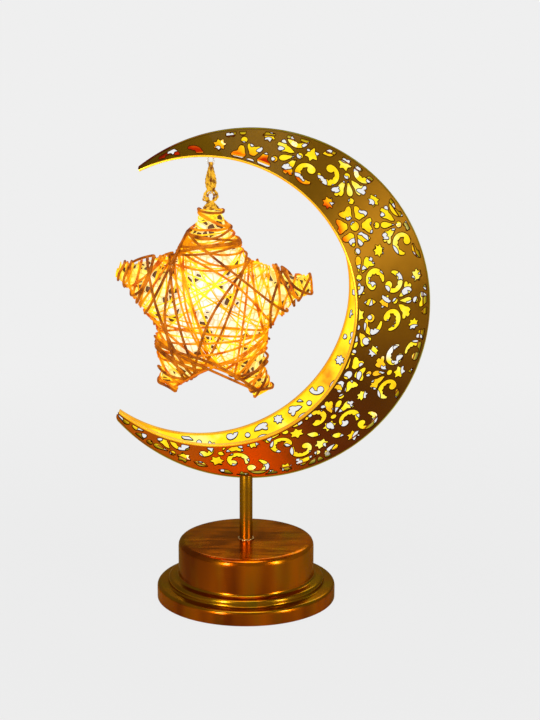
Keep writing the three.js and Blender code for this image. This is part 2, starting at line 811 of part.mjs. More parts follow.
// The arms are wound in turn, two arms on each time. Each is wound out and back again, ends
// on the other face from where it began, and from there the strand crosses to the next arm
function windingRoute() {
  const order = [0, 2, 4, 1, 3];
  const high = strandLift + strandLayer;
  const points = [];
  let face = 1;
  order.forEach((arm, visit) => {
    face = -face;
    const outer = armReaches[arm] - windingOuterInset;
    const total = 2 * turnsOut;
    const steps = total * stepsPerTurn;
    for (let i = 0; i <= steps; i += 1) {
      const turn = (total * i) / steps;
      const share = turn < turnsOut ? turn / turnsOut : 2 - turn / turnsOut;
      const climb = eased((turn - turnsOut + 0.25) * 2);
      const lift = strandLift + strandLayer * climb;
      const out = windingInner + (outer - windingInner) * share;
      points.push(strandPoint(arm, out, (face * Math.PI) / 2 + 2 * Math.PI * turn, lift));
    }
    if (visit < order.length - 1) {
      const stayHigh = visit >= 2;
      const lifts = stayHigh
        ? (share) => high - strandLayer * eased((share - 0.8) / 0.2)
        : (share) => high - strandLayer * eased((share - 0.05) / 0.3);
      points.push(...crossing(arm, order[visit + 1], -face, lifts));
    }
  });
  return withStraightEnds(points);
}

function withStraightEnds(points) {
  const reach = 2 * strandRadius;
  const first = points[0].clone().sub(points[1]).setLength(reach).add(points[0]);
  const last = points[points.length - 1];
  const tail = last.clone().sub(points[points.length - 2]).setLength(reach).add(last);
  return [first, ...points, tail];
}

// Least clear gap between stretches of the strand that aren't neighbours along it
function leastGap(points, radius) {
  const along = [0];
  for (let i = 1; i < points.length; i += 1) {
    along.push(along[i - 1] + points[i].distanceTo(points[i - 1]));
  }
  const nearPair = (i, j) => {
    const line = new THREE.Line3(points[j], points[j + 1]);
    const spot = line.closestPointToPoint(points[i], true, new THREE.Vector3());
    return spot.distanceTo(points[i]);
  };
  const neighbourly = 14 * radius;
  let least = Infinity;
  for (let i = 0; i < points.length; i += 1) {
    for (let j = 0; j < points.length - 1; j += 1) {
      if (Math.abs(along[i] - along[j]) > neighbourly) least = Math.min(least, nearPair(i, j));
    }
  }
  return least - 2 * radius;
}

function buildStar() {
  const topHole = disc(topHoleRadius, coreTop - 3 * coreWall, coreTop + past, 10, starX);
  const shell = cut(starShell(0), starShell(coreWall), topHole);
  addPiece('star_core', shell, 'core');

  const route = windingRoute();
  console.log(`star winding: ${armAngles.length * 2 * turnsOut} turns, least gap `
    + `${leastGap(route, strandRadius).toFixed(2)} mm`);
  addPiece('star_winding', sweep(route, strandRadius, strandSides), 'rattan');

  // Wire skeleton inside the core, following its outline
  const frameRoute = Array.from({ length: coreSides }, (_, i) => {
    const angle = (360 * i) / coreSides + 90;
    const reach = coreReach(angle % 360) - coreWall - frameInset;
    return new THREE.Vector3(starX + reach * Math.cos(angle * deg), 0, starZ + reach * Math.sin(angle * deg));
  });
  addPiece('star_frame', sweep(frameRoute, frameWire, 5, true), 'zinc');
  buildStarLights();
}

// The wire comes in beside the knot's tail and visits the arms in turn, a light at each
function buildStarLights() {
  const besideFrame = frameWire + 2 * seatGap + wireRadius;
  const stops = armAngles.map((angle) => [
    starX + lightCircle * Math.cos(angle * deg), -wireDepth, starZ + lightCircle * Math.sin(angle * deg)]);
  const route = [
    [starX, -besideFrame, coreTop - coreWall],
    [starX, -besideFrame, coreTop - coreWall - frameInset - 3 * frameWire],
    ...stops,
  ];
  addPiece('star_wire', tube(route, wireRadius, 28, 5), 'copper');
  const offset = wireRadius + seatGap + starLightRadius;
  stops.forEach(([x, y, z], i) => {
    const bead = new THREE.SphereGeometry(starLightRadius, 7, 4).translate(x, y - offset, z);
    addPiece(`star_light_${i + 1}`, bead, 'light');
  });
}

// The base

const plateBottom = footHeight + seatGap;
const plateTop = plateBottom + plateThickness;
const shellTopInner = drumHeight - shellWall;

function buildBaseShell() {
  const bore = stemRadius + seatGap;
  const outside = [
    [flangeRadius, shellFloorGap],
    [flangeRadius, flangeHeight - flangeRound],
    [flangeRadius - flangeRound / 3, flangeHeight - flangeRound / 3],
    [flangeRadius - flangeRound, flangeHeight],
    [ledgeRadius + cove, flangeHeight + cove / 3],
    [ledgeRadius, flangeHeight + cove],
    [ledgeRadius - ledgeRound / 3, ledgeHeight - ledgeRound / 4],
    [ledgeRadius - ledgeRound, ledgeHeight],
    [drumRadius + cove, ledgeHeight + cove / 2],
    [drumRadius, ledgeHeight + 2 * cove],
    [drumRadius, drumHeight - drumEdge],
    [drumRadius - 0.3 * drumEdge, drumHeight - 0.3 * drumEdge],
    [drumRadius - drumEdge, drumHeight],
    [bore, drumHeight],
  ];
  const inside = [
    [bore, shellTopInner],
    [drumInner - 0.8 * drumEdge, shellTopInner],
    [drumInner, drumHeight - drumEdge],
    [drumInner, ledgeHeight + 2 * cove - shellWall / 2],
    [ledgeRadius - ledgeRound - 0.7 * shellWall, ledgeHeight - shellWall],
    [ledgeRadius - shellWall, flangeHeight],
    [flangeRadius - 2 * shellWall, flangeHeight - shellWall],
    [flangeRadius - shellWall, flangeHeight - flangeRound - shellWall / 2],
    [flangeRadius - shellWall, shellFloorGap],
  ];
  const shell = turned([...outside, ...inside], baseSides);
  const lug = cut(
    block(screwCircle - lugWidth / 2 - screwRadius, flangeRadius - 0.8 * shellWall, -lugWidth / 2, lugWidth / 2,
      plateTop + seatGap, plateTop + seatGap + lugHeight),
    disc(screwRadius + seatGap, plateTop, plateTop + screwLength, 8, screwCircle),
  );
  const lugs = screwAngles.map((angle) => lug.clone().rotateZ(angle * deg));
  addPiece('base_shell', joined(shell, ...lugs), 'bronze');
}

const screwAngles = [30, 150, 270];
const footAngles = [45, 135, 225, 315];

const cellZ = plateTop + seatGap + cellRadius;
const bayTop = cellZ + cellRadius + seatGap;
const hingeY = bayY + bayHalfY + bayWall + seatGap + doorBarrelRadius;
const hingeZ = plateBottom + doorBarrelRadius;
const doorHalfX = bayHalfX - 1;
const doorFreeY = bayY - bayHalfY + seatGap;

function buildBottomPlate() {
  const disk = disc(flangeRadius - shellWall - seatGap, plateBottom, plateTop, baseSides);
  const bay = block(-bayHalfX - bayWall, bayHalfX + bayWall, bayY - bayHalfY - bayWall,
    bayY + bayHalfY + bayWall, plateTop - bury, bayTop + bayWall);
  const hollow = block(-bayHalfX, bayHalfX, bayY - bayHalfY, bayY + bayHalfY, plateTop - bury, bayTop);
  const doorway = block(-doorHalfX - runGap, doorHalfX + runGap, doorFreeY - runGap,
    bayY + bayHalfY - seatGap / 2, plateBottom - past, plateTop + bury);
  const earGap = doorBarrelLength / 2 + runGap;
  const barrelSlot = block(-earGap, earGap, bayY + bayHalfY - past, hingeY + doorBarrelRadius + runGap,
    plateBottom - past, hingeZ + doorBarrelRadius + runGap);
  const ear = (x) => block(x, x + earWidth, hingeY - earHalf, hingeY + earHalf, plateTop - bury,
    hingeZ + earHalf);
  const pinHole = rodAcross(doorPinRadius + seatGap, 2 * (earGap + earWidth + past), 8, 0, hingeY, hingeZ);
  const slot = block(-knobLength / 2 - runGap - switchTravel / 2, knobLength / 2 + runGap + switchTravel / 2,
    switchY - knobWidth / 2 - runGap, switchY + knobWidth / 2 + runGap, plateBottom - past, plateTop + past);
  const pad = block(boardX - boardPadHalf, boardX + boardPadHalf, boardY - boardPadHalf, boardY + boardPadHalf,
    plateTop - bury, plateTop + boardStand);
  const screwHoles = screwAngles.map((angle) => disc(screwRadius + seatGap, 0, plateTop + past, 8, screwCircle)
    .rotateZ(angle * deg));
  const solid = joined(disk, bay, ear(earGap), ear(-earGap - earWidth), pad);
  addPiece('bottom_plate', cut(solid, hollow, doorway, barrelSlot, pinHole, slot, ...screwHoles), 'plastic');
}

function buildDoor() {
  const hingeEdge = bayY + bayHalfY - 2 * runGap;
  const panel = block(-doorHalfX, doorHalfX, doorFreeY, hingeEdge, plateBottom, plateTop);
  const neck = block(-doorBarrelLength / 2, doorBarrelLength / 2, hingeEdge - bury,
    hingeY, plateBottom, plateTop - runGap);
  const barrel = rodAcross(doorBarrelRadius, doorBarrelLength, 12, 0, hingeY, hingeZ);
  const hole = rodAcross(doorPinRadius + seatGap, doorBarrelLength + 2 * past, 8, 0, hingeY, hingeZ);
  const grip = block(-gripHalf, gripHalf, doorFreeY + doorOverlap, doorFreeY + doorOverlap + gripWidth,
    plateBottom - past, plateBottom + gripDepth);
  addPiece('battery_door', cut(joined(panel, neck, barrel), hole, grip), 'plastic');
  const pin = rodAcross(doorPinRadius, doorBarrelLength + 2 * earWidth, 8, 0, hingeY, hingeZ);
  addPiece('door_pin', pin, 'zinc');
}

function buildCells() {
  for (let i = 0; i < cellCount; i += 1) {
    const y = bayY + (i - (cellCount - 1) / 2) * cellPitch;
    const facing = i % 2 ? -1 : 1;
    const half = cellLength / 2;
    const shape = turned([[0, -half], [cellRadius, -half], [cellRadius, half - buttonHeight],
      [buttonRadius, half - buttonHeight], [buttonRadius, half], [0, half]], 16);
    const cell = shape.rotateY((facing * Math.PI) / 2).translate(0, y, cellZ);
    addPiece(`cell_${i + 1}`, cell, 'cell');

    addPiece(`plus_contact_${i + 1}`, plusContact().rotateZ(i * Math.PI).translate(0, y, cellZ), 'zinc');
    addPiece(`minus_leaf_${i + 1}`, minusLeaf().rotateZ(i * Math.PI).translate(0, y, cellZ), 'zinc');
  }
}

// A square tab on the bay's end wall with a round boss that meets the cell's button
function plusContact() {
  const wall = bayHalfX - seatGap;
  const face = wall - contactThickness;
  const boss = face - cellLength / 2 - seatGap;
  const rooted = 0.4 * contactThickness;
  const tab = block(face, wall, -contactHalf, contactHalf, -contactHalf, contactHalf);
  return joined(tab, rodAcross(contactBoss, boss + rooted, 10, face + (rooted - boss) / 2, 0, 0));
}

// A strip on the opposite wall that bows out to press on the cell's flat end
function minusLeaf() {
  const wall = -(bayHalfX - seatGap);
  const face = wall + contactThickness;
  const crest = -(cellLength / 2 + seatGap);
  const bow = 0.7 * contactHalf;
  const leaf = new THREE.Shape([
    [wall, -contactHalf], [wall, -bow], [crest - contactThickness, 0], [wall, bow], [wall, contactHalf],
    [face, contactHalf], [face, bow], [crest, 0], [face, -bow], [face, -contactHalf],
  ].map(([x, z]) => new THREE.Vector2(x, z)));
  const strip = new THREE.ExtrudeGeometry(leaf, { depth: 1.6 * contactHalf, bevelEnabled: false });
  return strip.rotateX(Math.PI / 2).translate(0, 0.8 * contactHalf, 0);
}

function buildFastenings() {
  const headTop = plateBottom - seatGap;
  const headBottom = headTop - screwHeadHeight;
  const tip = plateBottom + screwLength;
  const screw = turned([[0, headBottom], [screwHeadRadius, headBottom], [screwHeadRadius, headTop],
    [screwRadius, headTop], [screwRadius, tip], [0, tip]], 8, screwCircle);
  screwAngles.forEach((angle, i) => {
    addPiece(`plate_screw_${i + 1}`, screw.clone().rotateZ(angle * deg), 'zinc');
  });
  footAngles.forEach((angle, i) => {
    const foot = disc(footRadius, 0, footHeight, 12, footCircle).rotateZ(angle * deg);
    addPiece(`rubber_foot_${i + 1}`, foot, 'rubber');
  });
  addPiece('centre_pad', disc(centrePadRadius, 0, footHeight, 12), 'rubber');
}

function buildSwitch() {
  const bottom = plateTop + seatGap;
  const slotHalf = knobLength / 2 + switchTravel / 2 + runGap;
  const body = block(-switchLength / 2, switchLength / 2, switchY - switchWidth / 2, switchY + switchWidth / 2,
    bottom, bottom + switchHeight);
  const cavity = block(-slotHalf, slotHalf, switchY - knobWidth / 2 - runGap, switchY + knobWidth / 2 + runGap,
    bottom - past, bottom + knobReach);
  addPiece('switch_body', cut(body, cavity), 'plastic');
  const knobX = -switchTravel / 2;
  const knob = block(knobX - knobLength / 2, knobX + knobLength / 2, switchY - knobWidth / 2,
    switchY + knobWidth / 2, plateBottom - knobStand, bottom + knobReach - runGap);
  addPiece('switch_knob', knob, 'plastic');
}

const boardBottom = plateTop + boardStand + seatGap;
const boardTop = boardBottom + boardThickness;

function buildBoard() {
  const onBoard = (x, y, length, width, bottom, top) => block(boardX + x - length / 2,
    boardX + x + length / 2, boardY + y - width / 2, boardY + y + width / 2, bottom, top);
  const board = onBoard(0, 0, boardLength, boardWidth, boardBottom, boardTop);
  const chip = onBoard(-1.5, 0, 5, 4, boardTop - bury, boardTop + 1.4);
  const resistor = onBoard(5.5, 2, 3, 2, boardTop - bury, boardTop + 1);
  addPiece('driver_board', joined(board, chip, resistor), 'board');
}

// Places at shares of the way from one place to another
function onTheWay(from, to, shares) {
  return shares.map((share) => from.map((value, i) => value + (to[i] - value) * share));
}

function buildLeads() {
  const overBoard = boardTop + seatGap + leadRadius;
  const overSwitch = plateTop + 2 * seatGap + switchHeight + leadRadius;
  const besideBay = bayY - bayHalfY - bayWall - seatGap - leadRadius;

  const offBay = [bayHalfX - 2 * leadTurn, besideBay - leadTurn, cellZ];
  const atSwitch = [0.6 * switchLength, switchY, overSwitch];
  addPiece('battery_lead', tube([
    [bayHalfX - leadTurn, besideBay, cellZ + leadTurn / 2],
    offBay,
    ...onTheWay(offBay, atSwitch, [0.35, 0.7]),
    atSwitch,
    [0.15 * switchLength, switchY, overSwitch],
  ], leadRadius, 14, 6), 'lead');

  const offSwitch = [-0.7 * switchLength, switchY, overSwitch];
  const onBoard = [boardX + boardLength / 2 - leadTurn / 2, switchY + leadTurn / 3, overBoard];
  addPiece('switch_lead', tube([
    [-0.3 * switchLength, switchY, overSwitch],
    offSwitch,
    ...onTheWay(offSwitch, onBoard, [0.6]),
    onBoard,
    [boardX + boardLength / 2 - 1.6 * leadTurn, switchY + leadTurn / 3, overBoard],
  ], leadRadius, 9, 6), 'lead');

  const boardEnd = [boardX + leadTurn / 2, boardY + 1.15 * leadTurn, overBoard];
  const underStem = [0, 0, stemFoot - 1.6 * leadTurn];
  const seamEnd = moonBottom + wireInset - wireRadius - leadRadius - seatGap;
  addPiece('stem_lead', tube([
    boardEnd,
    ...onTheWay(boardEnd, underStem, [0.3, 0.7]),
    underStem,
    [0, 0, stemFoot],
    ...onTheWay([0, 0, stemFoot], [0, 0, moonBottom], [1 / 3, 2 / 3]),
    [0, 0, moonBottom - wireInset],
    [0, 0, seamEnd],
  ], leadRadius, 26, 6), 'lead');
}

function buildStem() {
  const pipe = collar(stemBore, stemRadius, stemFoot, stemTop, 20);
  // The stem's top is notched to sit astride the moon's rim
  const notchDepth = stemRise + past;
  const drop = (seatGap / 2 + seatGap * Math.hypot(1, sheetSlope)) / sheetSlope;
  const notch = new THREE.Shape([
    new THREE.Vector2(0, moonBottom - drop),
    new THREE.Vector2((notchDepth + drop) * sheetSlope, moonBottom + notchDepth),
    new THREE.Vector2(-(notchDepth + drop) * sheetSlope, moonBottom + notchDepth),
  ]);
  const across = 4 * stemRadius;
  const wedge = new THREE.ExtrudeGeometry(notch, { depth: across, bevelEnabled: false })
    .rotateX(Math.PI / 2).rotateZ(Math.PI / 2).translate(-across / 2, 0, 0);
  addPiece('stem_tube', cut(pipe, wedge), 'bronze');

  const washerTop = shellTopInner - seatGap;
  const washerBottom = washerTop - washerHeight;
  addPiece('stem_washer', collar(stemRadius + seatGap, washerRadius, washerBottom, washerTop, 16), 'zinc');
  const nut = disc(nutAcross / Math.sqrt(3), nutTop - nutHeight, nutTop, 6);
  const bore = disc(stemRadius + seatGap, nutTop - nutHeight - past, nutTop + past, 20);
  addPiece('stem_nut', cut(nut, bore), 'zinc');
}

buildBaseShell();
buildBottomPlate();
buildDoor();
buildCells();
buildFastenings();
buildSwitch();
buildBoard();
buildLeads();
buildStem();
buildMoon();
buildMoonLights();
buildHangingGear();
buildStar();

export default lamp;
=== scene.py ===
import bisect
import math
import random

import bmesh
import bpy
from mathutils import Matrix, Vector
from mathutils.geometry import delaunay_2d_cdt


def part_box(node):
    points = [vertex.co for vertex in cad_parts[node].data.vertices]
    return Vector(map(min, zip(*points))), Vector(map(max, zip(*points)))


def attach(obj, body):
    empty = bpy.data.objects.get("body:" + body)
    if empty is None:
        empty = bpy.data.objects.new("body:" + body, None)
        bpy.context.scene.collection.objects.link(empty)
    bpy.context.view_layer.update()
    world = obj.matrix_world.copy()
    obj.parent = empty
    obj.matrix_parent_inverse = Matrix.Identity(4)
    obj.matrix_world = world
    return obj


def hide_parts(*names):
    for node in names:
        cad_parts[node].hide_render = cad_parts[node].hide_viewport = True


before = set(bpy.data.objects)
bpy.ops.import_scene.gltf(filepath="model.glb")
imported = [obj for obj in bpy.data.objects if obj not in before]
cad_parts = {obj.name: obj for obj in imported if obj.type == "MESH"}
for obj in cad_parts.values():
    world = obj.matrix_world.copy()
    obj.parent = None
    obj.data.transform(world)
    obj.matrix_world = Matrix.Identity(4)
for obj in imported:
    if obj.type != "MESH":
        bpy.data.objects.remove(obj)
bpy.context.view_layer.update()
mm = 0.001

# The looks of the moon and star lamp. Sizes below are millimetres in the frame of the CAD
# part, and every mesh is brought to metres as its last step.


class Flow:
    # A shader socket that can be used in ordinary arithmetic
    def __init__(self, tree, socket):
        self.tree = tree
        self.socket = socket

    def feed(self, value, target):
        if isinstance(value, Flow):
            self.tree.links.new(value.socket, target)
        else:
            target.default_value = value

    def node(self, kind, inputs, output=0, **settings):
        made = self.tree.nodes.new(kind)
        for name, value in settings.items():
            setattr(made, name, value)
        for key, value in inputs.items():
            self.feed(value, made.inputs[key])
        return Flow(self.tree, made.outputs[output])

    def calc(self, operation, first, second=0.0):
        return self.node("ShaderNodeMath", {0: first, 1: second}, operation=operation)

    def __add__(self, other):
        return self.calc("ADD", self, other)

    def __radd__(self, other):
        return self.calc("ADD", other, self)

    def __sub__(self, other):
        return self.calc("SUBTRACT", self, other)

    def __rsub__(self, other):
        return self.calc("SUBTRACT", other, self)

    def __mul__(self, other):
        return self.calc("MULTIPLY", self, other)

    def __rmul__(self, other):
        return self.calc("MULTIPLY", other, self)

    def __truediv__(self, other):
        return self.calc("DIVIDE", self, other)

    def __rtruediv__(self, other):
        return self.calc("DIVIDE", other, self)

    def __pow__(self, other):
        return self.calc("POWER", self, other)

    def __gt__(self, other):
        return self.calc("GREATER_THAN", self, other)

    def held(self):
        return self.node("ShaderNodeClamp", {0: self})


def tone(red, green, blue):
    # A colour as it is seen on a screen, 0 to 255, turned into the shader's own values
    def straight(value):
        share = value / 255
        return share / 12.92 if share <= 0.04045 else ((share + 0.055) / 1.055) ** 2.4
    return (straight(red), straight(green), straight(blue), 1)


def newMaterial(name):
    # A material and its object coordinates, from which every pattern on it starts
    material = bpy.data.materials.new(name)
    material.use_nodes = True
    tree = material.node_tree
    return material, Flow(tree, tree.nodes.new("ShaderNodeTexCoord").outputs["Object"])


def dress(place, **looks):
    sockets = place.tree.nodes["Principled BSDF"].inputs
    for name, value in looks.items():
        place.feed(value, sockets[name.replace("_", " ")])


def split(place):
    parts = place.node("ShaderNodeSeparateXYZ", {0: place}).socket.node
    return [Flow(place.tree, output) for output in parts.outputs]


def stretched(place, shares):
    return place.node("ShaderNodeVectorMath", {0: place, 1: shares}, operation="MULTIPLY")


def noise(place, grain, detail):
    # grain is the size of the pattern in millimetres
    inputs = {"Vector": place, "Scale": 1 / (grain * mm), "Detail": detail}
    return place.node("ShaderNodeTexNoise", inputs, output="Fac")


def cells(place, grain, feature, output="Distance"):
    inputs = {"Vector": place, "Scale": 1 / (grain * mm)}
    return place.node("ShaderNodeTexVoronoi", inputs, output=output, feature=feature)


def mixed(amount, first, second):
    flow = next(item for item in (amount, first, second) if isinstance(item, Flow))
    return flow.node("ShaderNodeMix", {0: amount, 6: first, 7: second}, output=2, data_type="RGBA")


def faded(colour, share):
    # A colour brought towards black
    return mixed(share, (0, 0, 0, 1), colour)


def ramp(amount, stops):
    flow = amount.node("ShaderNodeValToRGB", {0: amount})
    elements = flow.socket.node.color_ramp.elements
    while len(elements) < len(stops):
        elements.new(1)
    for element, (share, colour) in zip(elements, stops):
        element.position = share
        element.color = colour
    return flow


def bump(height, strength, depth):
    inputs = {"Height": height, "Strength": strength, "Distance": depth * mm}
    return height.node("ShaderNodeBump", inputs, output="Normal")


def band(value, low, high):
    # 0 before low, 1 past high, and a straight rise between
    return ((value - low) / (high - low)).held()


def span(value, edges):
    # The same for a length, whose two edges are in millimetres
    return band(value, edges[0] * mm, edges[1] * mm)


def distanceFrom(place, spot):
    # In metres, from a spot in millimetres
    ends = {0: place, 1: Vector(spot) * mm}
    return place.node("ShaderNodeVectorMath", ends, output="Value", operation="DISTANCE")


def nearness(place, spots):
    # 1 at the middle of the nearest spot, 0 outside them all
    total = None
    for spot in spots:
        glow = (1 - distanceFrom(place, spot["place"]) / (spot["radius"] * mm)).held()
        total = glow if total is None else total.calc("MAXIMUM", total, glow)
    return total


def nodesOf(*kinds):
    # The names of the CAD nodes of these kinds, kind by kind and in the order of their numbers
    names = sorted(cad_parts, key=lambda name: (len(name), name))
    return [name for kind in kinds for name in names if name.rstrip("_0123456789") == kind]


def corners(name):
    # A node's lowest corner, highest corner and middle, in millimetres
    low, high = (Vector(corner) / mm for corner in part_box(name))
    return low, high, (low + high) / 2


def addPiece(name, mesh, body, materials, replaced=()):
    # Brings a mesh in millimetres into the scene as a piece of the lamp
    mesh.transform(Matrix.Scale(mm, 4))
    mesh.name = name
    for material in materials:
        mesh.materials.append(material)
    piece = bpy.data.objects.new(name, mesh)
    bpy.context.scene.collection.objects.link(piece)
    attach(piece, body)
    if replaced:
        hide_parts(*replaced)
    return piece


def meshOf(form, smooth=True, sharp=40):
    mesh = bpy.data.meshes.new("form")
    bmesh.ops.recalc_face_normals(form, faces=form.faces)
    form.to_mesh(mesh)
    form.free()
    if smooth:
        mesh.shade_smooth()
        mesh.set_sharp_from_angle(angle=math.radians(sharp))
    return mesh


def turned(x, y, angle):
    c = math.cos(math.radians(angle))
    s = math.sin(math.radians(angle))
    return x * c - y * s, x * s + y * c


def arc(centreX, centreY, radius, start, end, steps):
    points = []
    for step in range(steps + 1):
        angle = math.radians(start + (end - start) * step / steps)
        points.append((centreX + radius * math.cos(angle), centreY + radius * math.sin(angle)))
    return points


def eased(steps):
    # Shares from 0 to 1 that lie closer together towards both ends
    return [(1 - math.cos(math.pi * step / steps)) / 2 for step in range(steps + 1)]


def rounded(profile, steps=5):
    # A path of (radius, height, rounding) corners with each corner turned into an arc
    points = []
    for index, (x, y, rounding) in enumerate(profile):
        if rounding == 0:
            points.append((x, y))
            continue
        corner = Vector((x, y))
        before = (Vector(profile[index - 1][:2]) - corner).normalized()
        after = (Vector(profile[index + 1][:2]) - corner).normalized()
        half = before.angle(after) / 2
        reach = rounding / math.tan(half)
        start = corner + before * reach
        end = corner + after * reach
        for step in range(steps + 1):
            share = step / steps
            first = start.lerp(corner, share)
            second = corner.lerp(end, share)
            points.append(tuple(first.lerp(second, share)))
    return points


def spun(profile, steps, x=0.0, y=0.0):
    # A (radius, height) outline turned right round the vertical line through x and y. It is
    # closed by its own last side, unless it starts and ends on that line
    form = bmesh.new()
    ring = [form.verts.new((radius, 0, height)) for radius, height in profile]
    edges = [form.edges.new(pair) for pair in zip(ring, ring[1:])]
    if profile[0][0] > 0:
        edges.append(form.edges.new((ring[-1], ring[0])))
    bmesh.ops.spin(form, geom=ring + edges, cent=(0, 0, 0), axis=(0, 0, 1), angle=2 * math.pi,
                   steps=steps, use_merge=True)
    bmesh.ops.remove_doubles(form, verts=form.verts, dist=1e-4)
    bmesh.ops.translate(form, verts=form.verts, vec=(x, y, 0))
    return form


def ball(radius, centre, segments, rings):
    form = bmesh.new()
    bmesh.ops.create_uvsphere(form, u_segments=segments, v_segments=rings, radius=radius)
    bmesh.ops.translate(form, verts=form.verts, vec=centre)
    return form


def curveMesh(splines, thickness, resolution=1, closed=False):
    # Round strands along lists of points; thickness is the strand's radius
    data = bpy.data.curves.new("strands", "CURVE")
    data.dimensions = "3D"
    data.bevel_depth = thickness
    data.bevel_resolution = resolution
    data.use_fill_caps = not closed
    for points in splines:
        spline = data.splines.new("POLY")
        spline.points.add(len(points) - 1)
        for knot, (x, y, z) in zip(spline.points, points):
            knot.co = (x, y, z, 1)
        spline.use_cyclic_u = closed
    holder = bpy.data.objects.new("holder", data)
    bpy.context.scene.collection.objects.link(holder)
    graph = bpy.context.evaluated_depsgraph_get()
    mesh = bpy.data.meshes.new_from_object(holder.evaluated_get(graph))
    bpy.data.objects.remove(holder)
    bpy.data.curves.remove(data)
    mesh.shade_smooth()
    return mesh


def smoothed(points, steps, closed=False, sharp=()):
    # A route or outline that passes smoothly through all the points; the numbered ones stay sharp
    knots = [Vector(point) for point in points]
    count = len(knots)
    route = []
    for i in range(count if closed else count - 1):
        start = knots[i]
        end = knots[(i + 1) % count]
        before = knots[i - 1] if closed or i > 0 else start
        after = knots[(i + 2) % count] if closed or i + 2 < count else end
        leave = start * 0 if i in sharp else (end - before) / 2
        arrive = start * 0 if (i + 1) % count in sharp else (after - start) / 2
        for step in range(steps):
            t = step / steps
            spot = start * (2 * t ** 3 - 3 * t ** 2 + 1) + leave * (t ** 3 - 2 * t ** 2 + t)
            spot += end * (3 * t ** 2 - 2 * t ** 3) + arrive * (t ** 3 - t ** 2)
            route.append(spot)
    if not closed:
        route.append(knots[-1])
    return route


print("stage 1: camera, light and floor")

cameraView = {
    "place": (-24.4, -1304.1, 489.5),
    "direction": (0.018, 0.968, -0.252),
    "lens": 72.35,
    "shift": (0.0336, 0.0103),
}

studio = {
    "backdrop": tone(239, 239, 239),
    "room": 0.22,  # brightness of the plain room that the metal reflects
    "floor": tone(170, 170, 170),
    "floorHalf": 6000,
    "floorGlow": 0.95,  # share of the floor's brightness that takes no shadow
    "fade": (150, 600),  # how far from the base it turns into the backdrop
    "lights": {
        "left": {"place": (-560, -840, 320), "size": (170, 620), "power": 8.0},
        "right": {"place": (760, -650, 320), "size": (150, 620), "power": 4.4},
        "top": {"place": (-80, -320, 1100), "size": (900, 420), "power": 4.2},
        "back": {"place": (250, 900, 800), "size": (900, 300), "power": 1.6},
    },
    "aim": (0, 0, 120),
}


def addCamera():
    data = bpy.data.cameras.new("camera")
    data.sensor_fit = "VERTICAL"
    data.sensor_height = 24
    data.lens = cameraView["lens"]
    data.shift_x, data.shift_y = cameraView["shift"]
    camera = bpy.data.objects.new("camera", data)
    camera.location = Vector(cameraView["place"]) * mm
    camera.rotation_euler = Vector(cameraView["direction"]).to_track_quat("-Z", "Y").to_euler()
    bpy.context.scene.collection.objects.link(camera)
    bpy.context.scene.camera = camera


def addLights():
    aim = Vector(studio["aim"])
    for name, light in studio["lights"].items():
        data = bpy.data.lights.new(f"light_{name}", "AREA")
        data.shape = "RECTANGLE"
        data.size, data.size_y = (side * mm for side in light["size"])
        data.energy = light["power"]
        lamp = bpy.data.objects.new(f"light_{name}", data)
        lamp.location = Vector(light["place"]) * mm
        lamp.rotation_euler = (aim - Vector(light["place"])).to_track_quat("-Z", "Y").to_euler()
        bpy.context.scene.collection.objects.link(lamp)


def cameraRay(tree):
    return Flow(tree, tree.nodes.new("ShaderNodeLightPath").outputs["Is Camera Ray"])


def addWorld():
    world = bpy.data.worlds.new("room")
    world.use_nodes = True
    tree = world.node_tree
    seen = cameraRay(tree)
    room = seen.node("ShaderNodeBackground", {"Color": (1, 1, 1, 1), "Strength": studio["room"]})
    pale = seen.node("ShaderNodeBackground", {"Color": studio["backdrop"], "Strength": 1})
    both = seen.node("ShaderNodeMixShader", {0: seen, 1: room, 2: pale})
    both.feed(both, tree.nodes["World Output"].inputs["Surface"])
    bpy.context.scene.world = world


def addFloor():
    form = bmesh.new()
    bmesh.ops.create_grid(form, x_segments=1, y_segments=1, size=studio["floorHalf"])
    mesh = meshOf(form, smooth=False)
    mesh.transform(Matrix.Scale(mm, 4))
    material, place = newMaterial("floor_pale")
    dress(place, Base_Color=studio["floor"], Roughness=0.9, Specular_IOR_Level=0)
    nodes = material.node_tree.nodes
    matt = Flow(place.tree, nodes["Principled BSDF"].outputs[0])
    plain = place.node("ShaderNodeEmission", {"Color": studio["backdrop"], "Strength": 1})
    away = place.node("ShaderNodeVectorMath", {0: place}, output="Value", operation="LENGTH")
    plainness = studio["floorGlow"] + span(away, studio["fade"]) * (1 - studio["floorGlow"])
    both = place.node("ShaderNodeMixShader", {0: cameraRay(place.tree) * plainness, 1: matt, 2: plain})
    place.feed(both, nodes["Material Output"].inputs["Surface"])
    mesh.materials.append(material)
    floor = bpy.data.objects.new("floor", mesh)
    bpy.context.scene.collection.objects.link(floor)


bpy.context.scene.view_settings.view_transform = "Standard"
addCamera()
addLights()
addWorld()
addFloor()


print("stage 2: base and stem")

bronze = {
    "light": tone(222, 112, 0),
    "dark": tone(136, 58, 0),
    "olive": tone(150, 112, 8),
    "edgeTint": tone(255, 214, 120),
    "oliveShare": 0.65,
    "lacquer": 0.08,
}

base = {
    "flangeRadius": 56.4,
    "flangeHeight": 9.8,
    "flangeRound": 2.6,
    "ledgeRadius": 49.25,
    "ledgeHeight": 14.2,
    "ledgeRound": 2.2,
    "drumRadius": 42.85,
    "drumHeight": 38.0,
    "drumRound": 4.2,
    "cove": 0.5,
    "wall": 1.2,
    "floorGap": 0.6,
    "steps": 160,
    "roughness": 0.23,
    "olive": 0.65,  # how strong the olive patches are
    "swirl": 1,  # how strong the streaks on the drum's top are
}

moonSlope = 0.65  # how far each plate stands off the seam, per millimetre in from the rim

